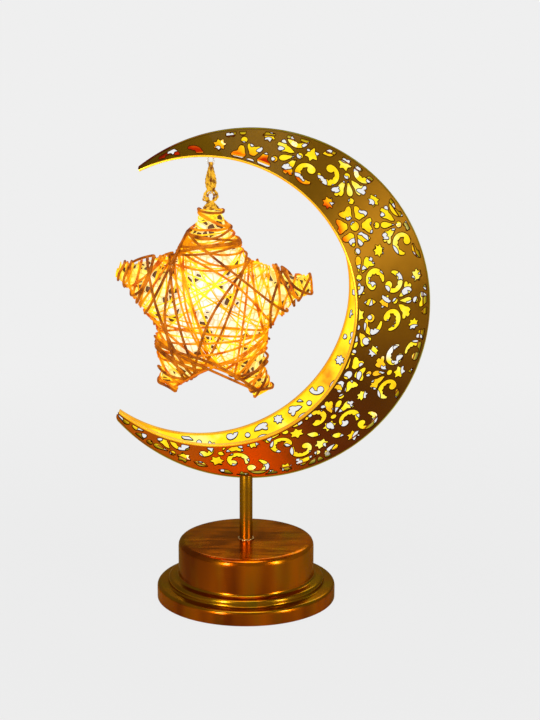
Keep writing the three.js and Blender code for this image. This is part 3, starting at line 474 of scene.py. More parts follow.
stem = {
    "radius": 4.1,
    "bore": 3.0,
    "foot": 27.0,
    "moonBottom": 78.0,
    "top": 80.5,
    "topRound": 0.5,
    "clearance": 0.3,
    "straddle": 0.8,  # how far under the moon's rim the wedge for it starts
    "roughness": 0.36,
    "olive": 0.5,
    "swirl": 0,
    "steps": 64,
}

solder = {
    "wire": 0.5,
    "spread": 0.35,
    "bulge": (-0.12, 0.4),
    "rise": (0.1, 0.6),
    "knots": 40,
    "light": tone(240, 206, 130),
    "dark": tone(150, 90, 30),
}


def brushedBronze(name, looks, oliveFrom, oliveTo):
    # Lacquered bronze: fine rings from the lathe, cloudy warm and olive patches, streaks on the
    # drum's top, and more olive all round between two heights
    material, place = newMaterial(name)
    z = split(place)[2]
    cloud = noise(stretched(place, (1, 1, 0.14)), 26, 2)
    patch = noise(stretched(place, (1, 0.6, 0.2)), 15, 3)
    ring = noise(stretched(place, (0.06, 0.06, 6)), 3.2, 2)
    onTop = span(z, (base["drumHeight"] - 1.4, base["drumHeight"] - 0.2)) * looks["swirl"]
    streak = (noise(stretched(place, (0.2, 1, 1)), 5, 3) - 0.5) * onTop
    warm = mixed(band(cloud + streak * 0.5, 0.36, 0.66), bronze["dark"], bronze["light"])
    aged = band(patch + streak * 0.5, 0.5, 0.74) * looks["olive"]
    above, beyond = (span(z, (height, height + 1)) for height in (oliveFrom, oliveTo))
    colour = mixed((aged + (above - beyond) * bronze["oliveShare"]).held(), warm, bronze["olive"])
    rough = looks["roughness"] + (ring - 0.5) * 0.12 + (patch - 0.5) * 0.1 + streak * 0.3
    dress(place, Base_Color=colour, Roughness=rough, Metallic=1.0, Coat_Weight=bronze["lacquer"],
          Specular_Tint=bronze["edgeTint"], Normal=bump(ring + cloud * 0.6 + streak, 0.2, 0.3))
    return material


def buildBase():
    top = stem["radius"] + stem["clearance"]
    wall = base["wall"]
    cove = base["cove"]
    flangeInner = base["flangeRadius"] - wall
    ledgeInner = base["ledgeRadius"] - wall
    drumInner = base["drumRadius"] - wall
    outside = [
        (base["flangeRadius"], base["floorGap"], 0),
        (base["flangeRadius"], base["flangeHeight"], base["flangeRound"]),
        (base["ledgeRadius"], base["flangeHeight"] + cove, 2 * cove),
        (base["ledgeRadius"], base["ledgeHeight"], base["ledgeRound"]),
        (base["drumRadius"], base["ledgeHeight"] + cove, base["ledgeRound"]),
        (base["drumRadius"], base["drumHeight"], base["drumRound"]),
        (top, base["drumHeight"], 0),
    ]
    inside = [
        (top, base["drumHeight"] - wall, 0),
        (drumInner, base["drumHeight"] - wall, base["drumRound"] - wall),
        (drumInner, base["ledgeHeight"] - cove, 2 * cove),
        (ledgeInner, base["ledgeHeight"] - wall, 2 * cove),
        (ledgeInner, base["flangeHeight"] - wall + cove, cove),
        (flangeInner, base["flangeHeight"] - wall, base["flangeRound"] - wall),
        (flangeInner, base["floorGap"], 0),
    ]
    form = spun(rounded(outside) + rounded(inside), base["steps"])
    looks = brushedBronze("bronze_base", base, base["flangeHeight"] - 1.5, base["ledgeHeight"] + 1)
    addPiece("base_turned", meshOf(form), "lamp", [looks], ["base_shell"])


def buildStem():
    profile = rounded([
        (stem["bore"], stem["foot"], 0),
        (stem["radius"], stem["foot"], 0),
        (stem["radius"], stem["top"], stem["topRound"]),
        (stem["bore"], stem["top"], 0),
    ], 3)
    form = spun(profile, stem["steps"])
    # The top straddles the moon's rim, so a wedge is taken out of it
    start = stem["moonBottom"] - stem["straddle"]
    for side in (1, -1):
        normal = Vector((0, side, -moonSlope)).normalized()
        everything = form.verts[:] + form.edges[:] + form.faces[:]
        bmesh.ops.bisect_plane(form, geom=everything, plane_co=(0, 0, start), plane_no=normal, dist=1e-5)
    inWedge = []
    for face in form.faces:
        middle = face.calc_center_median()
        if abs(middle.y) < (middle.z - start) * moonSlope:
            inWedge.append(face)
    bmesh.ops.delete(form, geom=inWedge, context="FACES")
    bmesh.ops.holes_fill(form, edges=form.edges, sides=0)
    looks = brushedBronze("bronze_stem", stem, stem["foot"], stem["top"])
    addPiece("stem_pipe", meshOf(form), "lamp", [looks], ["stem_tube"])


def buildWeld():
    # The uneven bead of solder where the stem stands on the drum
    draw = random.Random(4)
    route = []
    for i in range(solder["knots"]):
        reach = stem["radius"] + solder["spread"] + draw.uniform(*solder["bulge"])
        height = base["drumHeight"] + draw.uniform(*solder["rise"])
        route.append((*turned(reach, 0, 360 * i / solder["knots"]), height))
    mesh = curveMesh([smoothed(route, 3, True)], solder["wire"], 2, closed=True)
    material, place = newMaterial("solder")
    spots = noise(place, 1.6, 2)
    dress(place, Base_Color=mixed(spots, solder["light"], solder["dark"]), Roughness=0.2 + spots * 0.2,
          Metallic=1.0)
    addPiece("stem_weld", mesh, "lamp", [material])


buildBase()
buildStem()
buildWeld()


print("stage 3: moon plates")

moon = {
    "rimX": 3.0,
    "rimZ": 189.0,
    "rimRadius": 110.6,
    "openingX": -24.02,
    "openingZ": 193.52,
    "openingRadius": 89.4,
    "seam": 0.15,
    "wall": 0.9,
    "lowerHorn": -127.6,
    "upperHorn": 117.0,
    "edgeGap": 0.4,  # left between the opening and the sheet's inner edge, for the lip's bend
    "lip": 3.6,
    # the lip's section: how far out of the opening each corner is, and what share of the lip's depth
    "lipSection": [(0, 1), (0, 0.2), (0.1, 0.1), (0.4, 0.03), (0.8, 0.06), (1.2, 0.13), (1.2, 0.4),
                   (0.95, 0.5), (0.95, 1)],
    "steps": 190,  # along the crescent
    "sectorStep": 2.5,
}

pattern = {
    "tilt": -4.4,
    "middle": (80.9, 54.8),
    "backShift": (15.0, 10.0),  # of the pattern on the back plate, so that few holes line up
    "backShare": 0.8,  # size of the motifs there
    "across": 58.6,
    "up": 46.5,
    "columns": (-4, 2),
    "rows": (-6, 3),
    "lowest": -140,  # bearings on the flat sheet between which whole motifs are kept
    "highest": 127,
    "rimMargin": 2.2,
    "openingMargin": 2.4,
    "cutStep": 0.8,  # between the points where the rim or the opening cuts a motif
    "leastStep": 0.12,
    "leastArea": 2.0,
    "leastWidth": 0.6,
    "shadeOutline": 0.46,  # width of the painted shade line round each hole
}

plateLooks = {
    "roughness": 0.36,
    "edgeTint": tone(255, 214, 120),
    "paintedGlow": 0.22,  # painted glow: how strongly the outside shines by itself
    "outside": [  # painted light and shade round the rim's middle, from the left over the bottom back to the left
        (0.0, tone(120, 70, 8)),
        (0.1, tone(190, 90, 6)),
        (0.19, tone(225, 100, 4)),
        (0.27, tone(214, 92, 4)),
        (0.33, tone(116, 46, 4)),
        (0.4, tone(104, 54, 4)),
        (0.5, tone(136, 88, 10)),
        (0.58, tone(166, 112, 22)),
        (0.64, tone(146, 98, 16)),
        (0.7, tone(104, 70, 4)),
        (0.78, tone(82, 56, 0)),
        (1.0, tone(86, 56, 0)),
    ],
    "inside": [  # tones from the dimmest to the brightest
        (0.0, tone(176, 34, 0)),
        (0.18, tone(232, 110, 0)),
        (0.34, tone(244, 172, 10)),
        (0.54, tone(252, 208, 18)),
        (0.76, tone(255, 228, 30)),
        (1.0, tone(255, 248, 130)),
    ],
    "glow": 0.95,
    "poolRadius": 30,
    "openingShadeAbove": (195, 225),  # heights over which the opening's edge turns deeper in tone, as painted shade
    "openingShadeReach": (1.5, 9),  # how far out of the opening that goes
    "hornAcross": (5, -35),  # where the upper horn turns deeper in painted shade, leftwards and upwards
    "hornUp": (230, 270),
    # painted glare where a light shines through a hole
    "hot": {"place": (88.5, 9.0, 160.0), "radius": 9},
    # painted shade on the holes' walls and on the ring round each hole
    "cutEdge": (tone(34, 14, 0), tone(84, 38, 2)),
    "lip": (tone(232, 140, 4), tone(255, 206, 40)),
    "lipGlow": 0.42,
}


def rimDistance(angle):
    # From the opening's middle out to the rim, along one direction in degrees
    dx = moon["openingX"] - moon["rimX"]
    dz = moon["openingZ"] - moon["rimZ"]
    along = dx * math.cos(math.radians(angle)) + dz * math.sin(math.radians(angle))
    return -along + math.sqrt(along ** 2 - dx ** 2 - dz ** 2 + moon["rimRadius"] ** 2)


def depthAt(x, z):
    inset = moon["rimRadius"] - math.hypot(x - moon["rimX"], z - moon["rimZ"])
    return moon["seam"] + moonSlope * max(inset, 0)


def pastCircle(place, circle):
    # How far outside the moon's rim or opening, seen from the front, in metres
    x, _, z = split(place)
    across = x - moon[f"{circle}X"] * mm
    up = z - moon[f"{circle}Z"] * mm
    return (across * across + up * up) ** 0.5 - moon[f"{circle}Radius"] * mm


def crescentOutline():
    # Both edges of the sheet, drawn together into a round end at each horn
    outer = []
    inner = []
    lower = moon["lowerHorn"]
    upper = moon["upperHorn"]
    innerRadius = moon["openingRadius"] + moon["edgeGap"]
    for share in eased(moon["steps"]):
        angle = lower + (upper - lower) * share
        width = rimDistance(angle) - innerRadius
        fromEnd = min(angle - lower, upper - angle) * math.radians(innerRadius)
        roundness = width / 2
        closing = 1
        if fromEnd < roundness:
            closing = math.sqrt(1 - (1 - fromEnd / roundness) ** 2)
        middle = innerRadius + width / 2
        for edge, reach in ((outer, middle + closing * width / 2), (inner, middle - closing * width / 2)):
            x, z = turned(reach, 0, angle)
            edge.append((moon["openingX"] + x, moon["openingZ"] + z))
    return outer + inner[-2:0:-1]


def mirrored(half):
    # A left half, from the top down, completed with its mirror image
    return half + [(-x, y) for x, y in reversed(half) if x]


def starOutline(points, outer, inner, turn):
    tips = [turned(inner if k % 2 else outer, 0, turn + 180 * k / points) for k in range(2 * points)]
    return smoothed(tips, 3, True)


scroll = {
    "radius": 6.9,
    "start": 118,  # where the bulb sits, seen from the scroll's middle
    "end": 368,  # where the tip sits
    "bulb": 2.6,
    "bulbArc": (110, 350),
    "bulbJoin": 33,
    "tip": 0.9,
    "bulbWidth": 2.5,
    "fullWidth": 4.3,
    "scallops": 5,
    "scallopDepth": 0.8,
    "lean": 0.75,  # under 1 it is fattest nearer the tip
    "steps": 24,
}


def scrollOutline():
    # A fat C with a round bulb at one end, a thin tip at the other and a scalloped hollow
    radius = scroll["radius"]
    start = scroll["start"]
    end = scroll["end"]
    tip = scroll["tip"]
    outside = arc(0, 0, radius, start, end, 20)
    tipX, tipY = turned(radius - tip, 0, end)
    tail = arc(tipX, tipY, tip, end, end + 180, 4)
    inside = []
    for k in range(1, scroll["steps"]):
        share = k / scroll["steps"]
        angle = end + (start + scroll["bulbJoin"] - end) * share
        swell = math.sin(math.pi * share ** scroll["lean"])
        width = 2 * tip + (scroll["bulbWidth"] - 2 * tip) * share
        width += (scroll["fullWidth"] - scroll["bulbWidth"]) * swell
        width -= scroll["scallopDepth"] * swell * abs(math.cos(math.pi * scroll["scallops"] * share)) ** 3
        inside.append(turned(radius - width, 0, angle))
    bulbX, bulbY = turned(radius - scroll["bulb"], 0, start)
    bulb = arc(bulbX, bulbY, scroll["bulb"], *(start + turn for turn in scroll["bulbArc"]), 10)
    return outside + tail[1:] + inside + bulb


motifs = {
    "eye": arc(0, 0, 2.9, 0, 345, 23),
    "dot": arc(0, 0, 1.85, 0, 340, 17),
    "petal": smoothed(mirrored([(0, 2.3), (-2.3, 3.4), (-4.5, 3.0), (-4.2, 0.8), (-2.5, -1.6), (-1.4, -3.4)]),
                      4, True),
    "drop": smoothed(mirrored([(0, 4.9), (-1.0, 1.6), (-1.9, -1.8), (-1.4, -4.0), (0, -4.8)]), 4, True, (0,)),
    "leaf": smoothed([(-4.5, 5.2), (-4.4, 2.4), (-3.2, 0.0), (-2.6, -2.6), (-0.8, -4.4), (0.7, -3.2),
                      (2.0, -4.1), (3.5, -2.9), (2.6, -1.2), (4.4, -0.8), (4.5, 0.9), (2.4, 1.5),
                      (0.7, 1.5), (-0.9, 3.1)], 4, True, (0, 5, 8)),
    "scroll": scrollOutline(),
    "crown": starOutline(6, 4.5, 2.9, 90),
    "diamond": starOutline(7, 3.9, 2.6, 0),
    "lens": smoothed([(-4.6, 0), (0, -2.2), (4.6, 0), (0, 2.2)], 6, True, (0, 2)),
}

# What stands round each eye: rings of one kind, then branches that are all alike
rosette = {
    "rings": [  # kind, reach, first bearing, how many
        ("eye", 0, 0, 1),
        ("petal", 8.6, 30, 6),
        ("diamond", 21.6, 45, 4),
    ],
    "branches": 4,
    "branch": [  # kind, place while it points up, mirror
        ("dot", 0, 15.4, 1),
        ("drop", 0, 23.2, 1),
        ("leaf", 6.9, 23.2, 1),
        ("leaf", -6.9, 23.2, -1),
        ("dot", 0, 31.2, 1),
        ("scroll", 11.8, 32.8, 1),
        ("scroll", -11.8, 32.8, -1),
        ("crown", 0, 38.9, 1),
    ],
    "lensAside": 8.3,
}


def repeatItems():
    # Everything round one rosette: kind, place, turn in degrees and mirror
    items = []
    for kind, reach, first, count in rosette["rings"]:
        for k in range(count):
            turn = first + 360 * k / count
            items.append((kind, *turned(0, reach, turn), turn, 1))
    for k in range(rosette["branches"]):
        turn = 360 * k / rosette["branches"]
        for kind, x, y, mirror in rosette["branch"]:
            items.append((kind, *turned(x, y, turn), turn, mirror))
    for side in (-1, 1):
        items.append(("lens", side * rosette["lensAside"], pattern["up"], 0, 1))
    return items


def rolled(x, y):
    # Where a point of the flat sheet lies once the sheet is rolled into its cone
    squeeze = 1 / math.hypot(1, moonSlope)
    reach = math.hypot(x, y) * squeeze
    angle = math.atan2(y, x) / squeeze
    return moon["rimX"] + reach * math.cos(angle), moon["rimZ"] + reach * math.sin(angle)


def bearing(point, centre=(0, 0)):
    return math.atan2(point[1] - centre[1], point[0] - centre[0])


def clipped(outline, centre, radius, side):
    # The parts of an outline inside a circle, side 1, or outside it, side -1, each closed along it
    gaps = [side * (radius - math.dist(point, centre)) for point in outline]
    if min(gaps) > 0:
        return [outline]
    if max(gaps) <= 0:
        return []
    path = []
    crossings = []
    for i, point in enumerate(outline):
        following = outline[(i + 1) % len(outline)]
        here = gaps[i]
        there = gaps[(i + 1) % len(outline)]
        if here > 0:
            path.append((point, None))
        if (here > 0) != (there > 0):
            share = here / (here - there)
            spot = [start + (end - start) * share for start, end in zip(point, following)]
            crossings.append((bearing(spot, centre), len(path)))
            path.append((spot, "leave" if here > 0 else "enter"))
    middle = bearing(outline[0], centre)
    crossings.sort(key=lambda item: (item[0] - middle + math.pi) % (2 * math.pi))
    partner = {}
    for first, second in zip(crossings[0::2], crossings[1::2]):
        partner[first[1]] = second[1]
        partner[second[1]] = first[1]
    parts = []
    waiting = [index for index, (_, mark) in enumerate(path) if mark == "enter"]
    while waiting:
        start = waiting[0]
        part = []
        index = start
        while True:
            if index in waiting:
                waiting.remove(index)
            part.append(path[index][0])
            index = (index + 1) % len(path)
            if path[index][1] == "leave":
                part.append(path[index][0])
                index = partner[index]
                part.extend(alongCircle(part[-1], path[index][0], centre, radius))
                if index == start:
                    break
        parts.append(part)
    return parts


def alongCircle(start, end, centre, radius):
    # Points between two that lie on a circle, the shorter way round
    first = bearing(start, centre)
    sweep = (bearing(end, centre) - first + math.pi) % (2 * math.pi) - math.pi
    steps = int(abs(sweep) * radius / pattern["cutStep"]) + 1
    return arc(*centre, radius, math.degrees(first), math.degrees(first + sweep), steps)[1:-1]


def grown(outline, margin):
    # A counter-clockwise outline moved outwards
    points = []
    for i, (x, y) in enumerate(outline):
        before = outline[i - 1]
        after = outline[(i + 1) % len(outline)]
        length = math.dist(before, after) / margin
        points.append((x + (after[1] - before[1]) / length, y - (after[0] - before[0]) / length))
    return points


def area(outline):
    total = 0
    for i, (x, y) in enumerate(outline):
        total += outline[i - 1][0] * y - x * outline[i - 1][1]
    return total / 2


def onSheet(item, column, row, shift, share):
    # A motif's outline on the flat sheet, in one repeat of the pattern
    kind, x, y, turn, mirror = item
    startX = column * pattern["across"] + x
    startY = row * pattern["up"] + y
    outline = []
    for px, py in motifs[kind]:
        tx, ty = turned(px * mirror * share, py * share, turn)
        fx, fy = turned(startX + tx, startY + ty, pattern["tilt"])
        outline.append((pattern["middle"][0] + shift[0] + fx, pattern["middle"][1] + shift[1] + fy))
    return outline


def piercings(shift, share):
    # Every cut-out of a plate; the repeats stand on the even squares of a chequered board
    rim = ((moon["rimX"], moon["rimZ"]), moon["rimRadius"] - pattern["rimMargin"], 1)
    opening = ((moon["openingX"], moon["openingZ"]), moon["openingRadius"] + pattern["openingMargin"], -1)
    repeats = [(column, row) for column in range(*pattern["columns"]) for row in range(*pattern["rows"])
               if (column + row) % 2 == 0]
    holes = []
    for outline in [onSheet(item, *repeat, shift, share) for repeat in repeats for item in repeatItems()]:
        bearings = [math.degrees(bearing(point)) for point in outline]
        if min(bearings) >= pattern["lowest"] and max(bearings) <= pattern["highest"]:
            for part in clipped([rolled(x, y) for x, y in outline], *rim):
                holes.extend(clipped(part, *opening))
    return [hole for hole in holes if worthCutting(hole)]


def worthCutting(hole):
    length = sum(math.dist(hole[i - 1], hole[i]) for i in range(len(hole)))
    size = abs(area(hole))
    return size > pattern["leastArea"] and 2 * size / length > pattern["leastWidth"]


def flatPlate(shift, share):
    # The pierced crescent as a flat net of triangles, made from its outline and its holes. Its
    # materials are 0 outside, 1 inside and 2 round the holes
    holes = piercings(shift, share)
    print("  cut-outs:", len(holes))
    outlines = [crescentOutline()] + holes
    outlines = [spaced(outline if area(outline) > 0 else outline[::-1]) for outline in outlines]
    outlines += [grown(outline, pattern["shadeOutline"]) for outline in outlines[1:]]
    points = []
    loops = []
    for outline in outlines:
        loops.append(list(range(len(points), len(points) + len(outline))))
        points.extend(Vector(point) for point in outline)
    spots, _, faces, _, _, sources = delaunay_2d_cdt(points, [], loops, 1, 1e-4)
    form = bmesh.new()
    verts = [form.verts.new((spot.x, spot.y, 0)) for spot in spots]
    cutOut = set(range(1, len(holes) + 1))
    for face, source in zip(faces, sources):
        if 0 in source and not cutOut & set(source):
            made = form.faces.new([verts[i] for i in face])
            made.material_index = 2 if len(set(source)) > 1 else 0
    loose = [vert for vert in verts if not vert.link_faces]
    bmesh.ops.delete(form, geom=loose, context="VERTS")
    return form


def spaced(points):
    # Points that all but coincide are thinned out
    kept = [points[0]]
    for point in points[1:]:
        if math.dist(point, kept[-1]) > pattern["leastStep"]:
            kept.append(point)
    if math.dist(kept[0], kept[-1]) < pattern["leastStep"]:
        kept.pop()
    return kept


def shapedPlate(shift, share):
    # Split along the cone's straight lines, thickened, then pushed out to the cone
    form = flatPlate(shift, share)
    apex = (moon["rimX"], moon["rimZ"], 0)
    for sector in range(int(180 / moon["sectorStep"])):
        across = (*turned(0, 1, sector * moon["sectorStep"]), 0)
        everything = form.verts[:] + form.edges[:] + form.faces[:]
        bmesh.ops.bisect_plane(form, geom=everything, plane_co=apex, plane_no=across, dist=1e-4)
    bmesh.ops.triangulate(form, faces=[face for face in form.faces if len(face.verts) > 4])
    raised = bmesh.ops.extrude_face_region(form, geom=form.faces[:])
    lifted = [item for item in raised["geom"] if isinstance(item, bmesh.types.BMVert)]
    bmesh.ops.translate(form, verts=lifted, vec=(0, 0, moon["wall"]))
    bmesh.ops.recalc_face_normals(form, faces=form.faces)
    for face in form.faces:
        if abs(face.normal.z) < 0.5:
            face.material_index = 2
        elif face.normal.z < 0 and face.material_index == 0:
            face.material_index = 1
    slant = math.hypot(1, moonSlope)
    for vert in form.verts:
        x, z, layer = vert.co
        vert.co = (x, -depthAt(x, z) - (layer - moon["wall"]) * slant, z)
    return form


def lipForm():
    # The sheet's edge turned in round the opening, spun about the opening's middle
    lower = moon["lowerHorn"]
    upper = moon["upperHorn"]
    form = bmesh.new()
    ring = [form.verts.new((moon["openingRadius"] + out, -share, 0)) for out, share in moon["lipSection"]]
    section = form.faces.new(ring)
    bmesh.ops.rotate(form, verts=ring, cent=(0, 0, 0), matrix=Matrix.Rotation(-math.radians(lower), 3, "Y"))
    bmesh.ops.spin(form, geom=[section], cent=(0, 0, 0), axis=(0, -1, 0),
                   angle=math.radians(upper - lower), steps=moon["steps"], use_merge=False)
    for vert in form.verts:
        share = -vert.co.y
        edgeX, edgeZ = turned(moon["openingRadius"], 0, math.degrees(bearing((vert.co.x, vert.co.z))))
        depth = depthAt(moon["openingX"] + edgeX, moon["openingZ"] + edgeZ)
        lip = min(moon["lip"], depth - moon["seam"])
        vert.co = (moon["openingX"] + vert.co.x, -depth + share * lip, moon["openingZ"] + vert.co.z)
    return form


def plateOutside():
    # Thin bronze lacquer, with painted light and shade that darken and redden it round the crescent, painted
    # shade along the rim and the opening's edge, and a painted glow
    material, place = newMaterial("plate_outside")
    x, _, z = split(place)
    turn = place.calc("ARCTAN2", z - moon["rimZ"] * mm, x - moon["rimX"] * mm) / (2 * math.pi) + 0.5
    cloud = noise(place, 42, 3)
    fine = noise(stretched(place, (1, 1, 0.3)), 2.2, 2)
    # Painted light and shade by the bearing round the rim: dark at the upper left, bronze at the right,
    # glowing orange at the bottom
    colour = ramp(turn + (cloud - 0.5) * 0.05, plateLooks["outside"])
    # Painted shade along the rim and along the opening's edge
    clearOfEdgeShade = span(pastCircle(place, "rim"), (-0.3, -1.3)) * span(pastCircle(place, "opening"), (0.5, 1.3))
    colour = faded(colour, (0.9 + (cloud - 0.5) * 0.5).held() * (0.22 + clearOfEdgeShade * 0.78))
    rough = plateLooks["roughness"] + (fine - 0.5) * 0.12 + (cloud - 0.5) * 0.1
    # The outside also shines faintly by itself: a painted glow of the light from inside
    dress(place, Base_Color=colour, Roughness=rough, Metallic=0.85, Coat_Weight=0.05,
          Specular_Tint=plateLooks["edgeTint"], Normal=bump(cloud + fine * 0.1, 0.2, 0.4),
          Emission_Color=colour, Emission_Strength=plateLooks["paintedGlow"])
    return material


def plateInside():
    # The lit inner side in painted light and a painted glow: bright yellow round each light, deeper between
    # them, orange to red in painted shade along the seam, beside the opening's upper part and at the upper
    # horn
    material, place = newMaterial("plate_inside")
    x, y, z = split(place)
    deep = place.calc("ABSOLUTE", y)
    radius = plateLooks["poolRadius"]
    pools = [{"place": corners(name)[2], "radius": radius} for name in nodesOf("moon_light")]
    # Painted shade beside the opening's upper part and at the upper horn
    upper = span(z, plateLooks["openingShadeAbove"])
    openingShade = (1 - span(pastCircle(place, "opening"), plateLooks["openingShadeReach"])) * upper * 0.5
    horn = span(x, plateLooks["hornAcross"]) * span(z, plateLooks["hornUp"]) * 0.32
    cloud = noise(place, 15, 3)
    # Painted pools of light round each light, brighter further from the seam
    amount = 0.42 + nearness(place, pools) * 0.5 + (cloud - 0.5) * 1.3 + span(deep, (2, 14)) * 0.16
    colour = ramp((amount - openingShade - horn).held(), plateLooks["inside"])
    # A painted glare where a light shines through a hole
    hot = nearness(place, [plateLooks["hot"]])
    colour = mixed((hot * 2).held(), colour, (1, 1, 0.9, 1))
    # Painted shade in the crease along the seam
    colour = faded(colour, 0.12 + span(deep, (0.5, 2.2)) * 0.88)
    dress(place, Base_Color=faded(colour, 0.3), Roughness=0.5 + cloud * 0.1, Metallic=0.3,
          Specular_IOR_Level=0.2, Emission_Color=colour, Emission_Strength=plateLooks["glow"])
    return material


def plateEdge():
    # The cut edge round every hole and the thin ring beside it, painted dark as shade
    material, place = newMaterial("plate_edge")
    grain = noise(place, 1.2, 2)
    colour = mixed(grain, *plateLooks["cutEdge"])
    dress(place, Base_Color=colour, Roughness=0.6 + grain * 0.2, Specular_IOR_Level=0.02)
    return material


def lipMaterial():
    # The turned-in edge catches the light from inside
    material, place = newMaterial("plate_lip")
    cloud = noise(place, 16, 2)
    colour = mixed(cloud, *plateLooks["lip"])
    dress(place, Base_Color=colour, Roughness=0.28 + cloud * 0.1, Metallic=0.75,
          Emission_Color=colour, Emission_Strength=plateLooks["lipGlow"])
    return material


def buildMoon():
    looks = [plateOutside(), plateInside(), plateEdge()]
    lipLooks = [lipMaterial()]
    for name, shift, share in (("front", (0, 0), 1), ("back", pattern["backShift"], pattern["backShare"])):
        sheet = meshOf(shapedPlate(shift, share), sharp=24)
        fold = meshOf(lipForm(), sharp=50)
        if name == "back":
            for mesh in (sheet, fold):
                mesh.transform(Matrix.Diagonal((1, -1, 1, 1)))
                mesh.flip_normals()
        addPiece(f"moon_{name}_sheet", sheet, "lamp", looks, [f"moon_{name}_plate"])
        addPiece(f"moon_{name}_lip", fold, "lamp", lipLooks)


buildMoon()


# The wound star

print("stage 4: star")

star = {
    "x": -21.4,
    "z": 191.2,
    "arms": [11, 90, 159.5, 242, 300],
    "reaches": [64.5, 60.5, 62.8, 61, 67],
    "ends": [6.0, 8.4, 5.6, 7.0, 7.2],  # half the width of each arm's blunt end
    "notchCuts": [3.0, 2.4, 1.6, 3.8, 0.8],  # how much deeper than the arms' edges each notch is
    "notchReach": 20,  # degrees on either side of a notch over which its extra depth fades
    "softness": 18,  # of the corners at the arms' ends; more is sharper
    "taper": 0.73,
    "shoulder": 48.9,
    "depth": 24.6,
    "fullness": 2.4,
    "glowLayer": 4.6,
    "glowMesh": (180, 48),  # segments round the glowing core, and rings from front to back
}

starLight = {
    "tones": [  # from the arms' ends to the star's middle
        (0.0, tone(240, 134, 0)),
        (0.22, tone(255, 192, 0)),
        (0.4, tone(255, 226, 24)),
        (0.6, tone(255, 246, 96)),
        (0.8, tone(255, 253, 190)),
        (1.0, tone(255, 255, 236)),
    ],
    "gap": 4.9,  # size of the gaps between the innermost strands
    "net": tone(246, 160, 0),
    # painted shade in the gaps between the strands
    "dark": tone(96, 56, 20),
}

# layer is the depth of a strand's middle under the star's outside. Each layer's tones and glow are painted
# light: the deeper layers, nearer the lights, are brighter and yellower, the outer ones darker
strands = {
    "fine": {
        "radius": 0.48, "layer": 3.6, "armPasses": 21, "lean": 16, "crossings": 66, "bow": 0.06, "seed": 3,
        "cane": "rattan_fine", "dark": tone(240, 142, 0), "light": tone(255, 220, 34), "glow": 0.96,
        "grain": 1.1, "nodes": [],
    },
    "middle": {
        "radius": 0.74, "layer": 2.4, "armPasses": 13, "lean": 17, "crossings": 38, "bow": 0.12, "seed": 11,
        "cane": "rattan_middle_half_lit", "dark": tone(190, 74, 0), "light": tone(248, 160, 0), "glow": 0.72,
        "grain": 0.8, "nodes": ["star_winding"],
    },
    "top": {
        "radius": 0.82, "layer": 1.2, "armPasses": 9, "lean": 14, "crossings": 19, "bow": 0.16, "seed": 5,
        "cane": "rattan_outer_least_lit", "dark": tone(116, 48, 0), "light": tone(218, 118, 2), "glow": 0.5,
        "grain": 0.7, "nodes": [],
    },
}

winding = {
    "armRoot": 33,  # how far out from the star's middle the passes across an arm start
    "tipGap": 1.2,
    "tipSpread": 1.5,
    "notchSpread": 19,  # degrees on either side of a notch where a crossing may turn
    "unevenness": (-0.25, 0.35),  # of the layer that one strand lies in
    "steps": 18,
}

# Painted glare where the lights inside the star shine through
hotSpots = [
    {"place": (-28.3, -15.0, 203.5), "radius": 15},
    {"place": (-0.5, -12.0, 182.4), "radius": 11},
]


def apartBy(first, second):
    # The angle between two bearings, in degrees
    return abs((first - second + 540) % 360 - 180)


def starReach(angle):
    # From the star's middle out to its outline, along one bearing
    apart = [apartBy(angle, arm) for arm in star["arms"]]
    nearest = apart.index(min(apart))
    turn = math.radians(apart[nearest])
    edge = star["shoulder"] / (math.sin(turn) + star["taper"] * math.cos(turn))
    blunt = star["ends"][nearest] / max(math.sin(turn), 0.02)
    cap = star["reaches"][nearest] + 2
    cut = 0
    for index, deeper in enumerate(star["notchCuts"]):
        cut += deeper * max(1 - apartBy(angle, notchAngle(index)) / star["notchReach"], 0)
    soft = star["softness"]
    return (max(edge, blunt) ** -soft + cap ** -soft) ** (-1 / soft) - cut


def starFill(x, z, layer):
    # 0 in the middle of the star, 1 at its outline, for one layer of the winding
    angle = math.degrees(math.atan2(z, x)) % 360
    return math.hypot(x, z) / (starReach(angle) - layer)


def edgePoint(angle, layer):
    return Vector(turned(starReach(angle % 360) - layer, 0, angle))


def notchAngle(index):
    # Halfway between an arm and the next one round
    arms = star["arms"]
    following = arms[(index + 1) % 5]
    return arms[index] + ((following - arms[index]) % 360) / 2


def flank(arm, out, side, layer):
    # A point on an arm's edge, so far out along its axis, on its left or right
    low = 0
    high = star["shoulder"]
    while high - low > 1e-6:
        across = (low + high) / 2
        x, z = turned(out, side * across, star["arms"][arm])
        if starFill(x, z, layer) < 1:
            low = across
        else:
            high = across
    return Vector((x, z))


def tautDepths(depths, shares):
    # A taut strand bridges the hollows: the upper hull of the depths along it
    hull = []
    for i, share in enumerate(shares):
        while len(hull) > 1:
            first, second = hull[-2:]
            rise = (depths[second] - depths[first]) * (share - shares[first])
            if rise > (depths[i] - depths[first]) * (shares[second] - shares[first]):
                break
            hull.pop()
        hull.append(i)
    marks = [shares[i] for i in hull]
    result = []
    for share in shares:
        k = min(max(bisect.bisect_right(marks, share) - 1, 0), len(hull) - 2)
        first, second = hull[k:k + 2]
        part = (share - shares[first]) / (shares[second] - shares[first])
        result.append(depths[first] + (depths[second] - depths[first]) * part)
    return result


def bowed(start, end, bow):
    # Spots along a strand as seen from the front, bowed to one side
    across = Vector((-(end - start).y, (end - start).x))
    spots = []
    for share in eased(winding["steps"]):
        spots.append(start.lerp(end, share) + across * (bow * math.sin(math.pi * share)))
    return spots


def staysInside(spots, layer):
    # Whether a strand keeps to the star, or all but keeps to it
    return all(starFill(spot.x, spot.y, layer) < 1.02 for spot in spots)


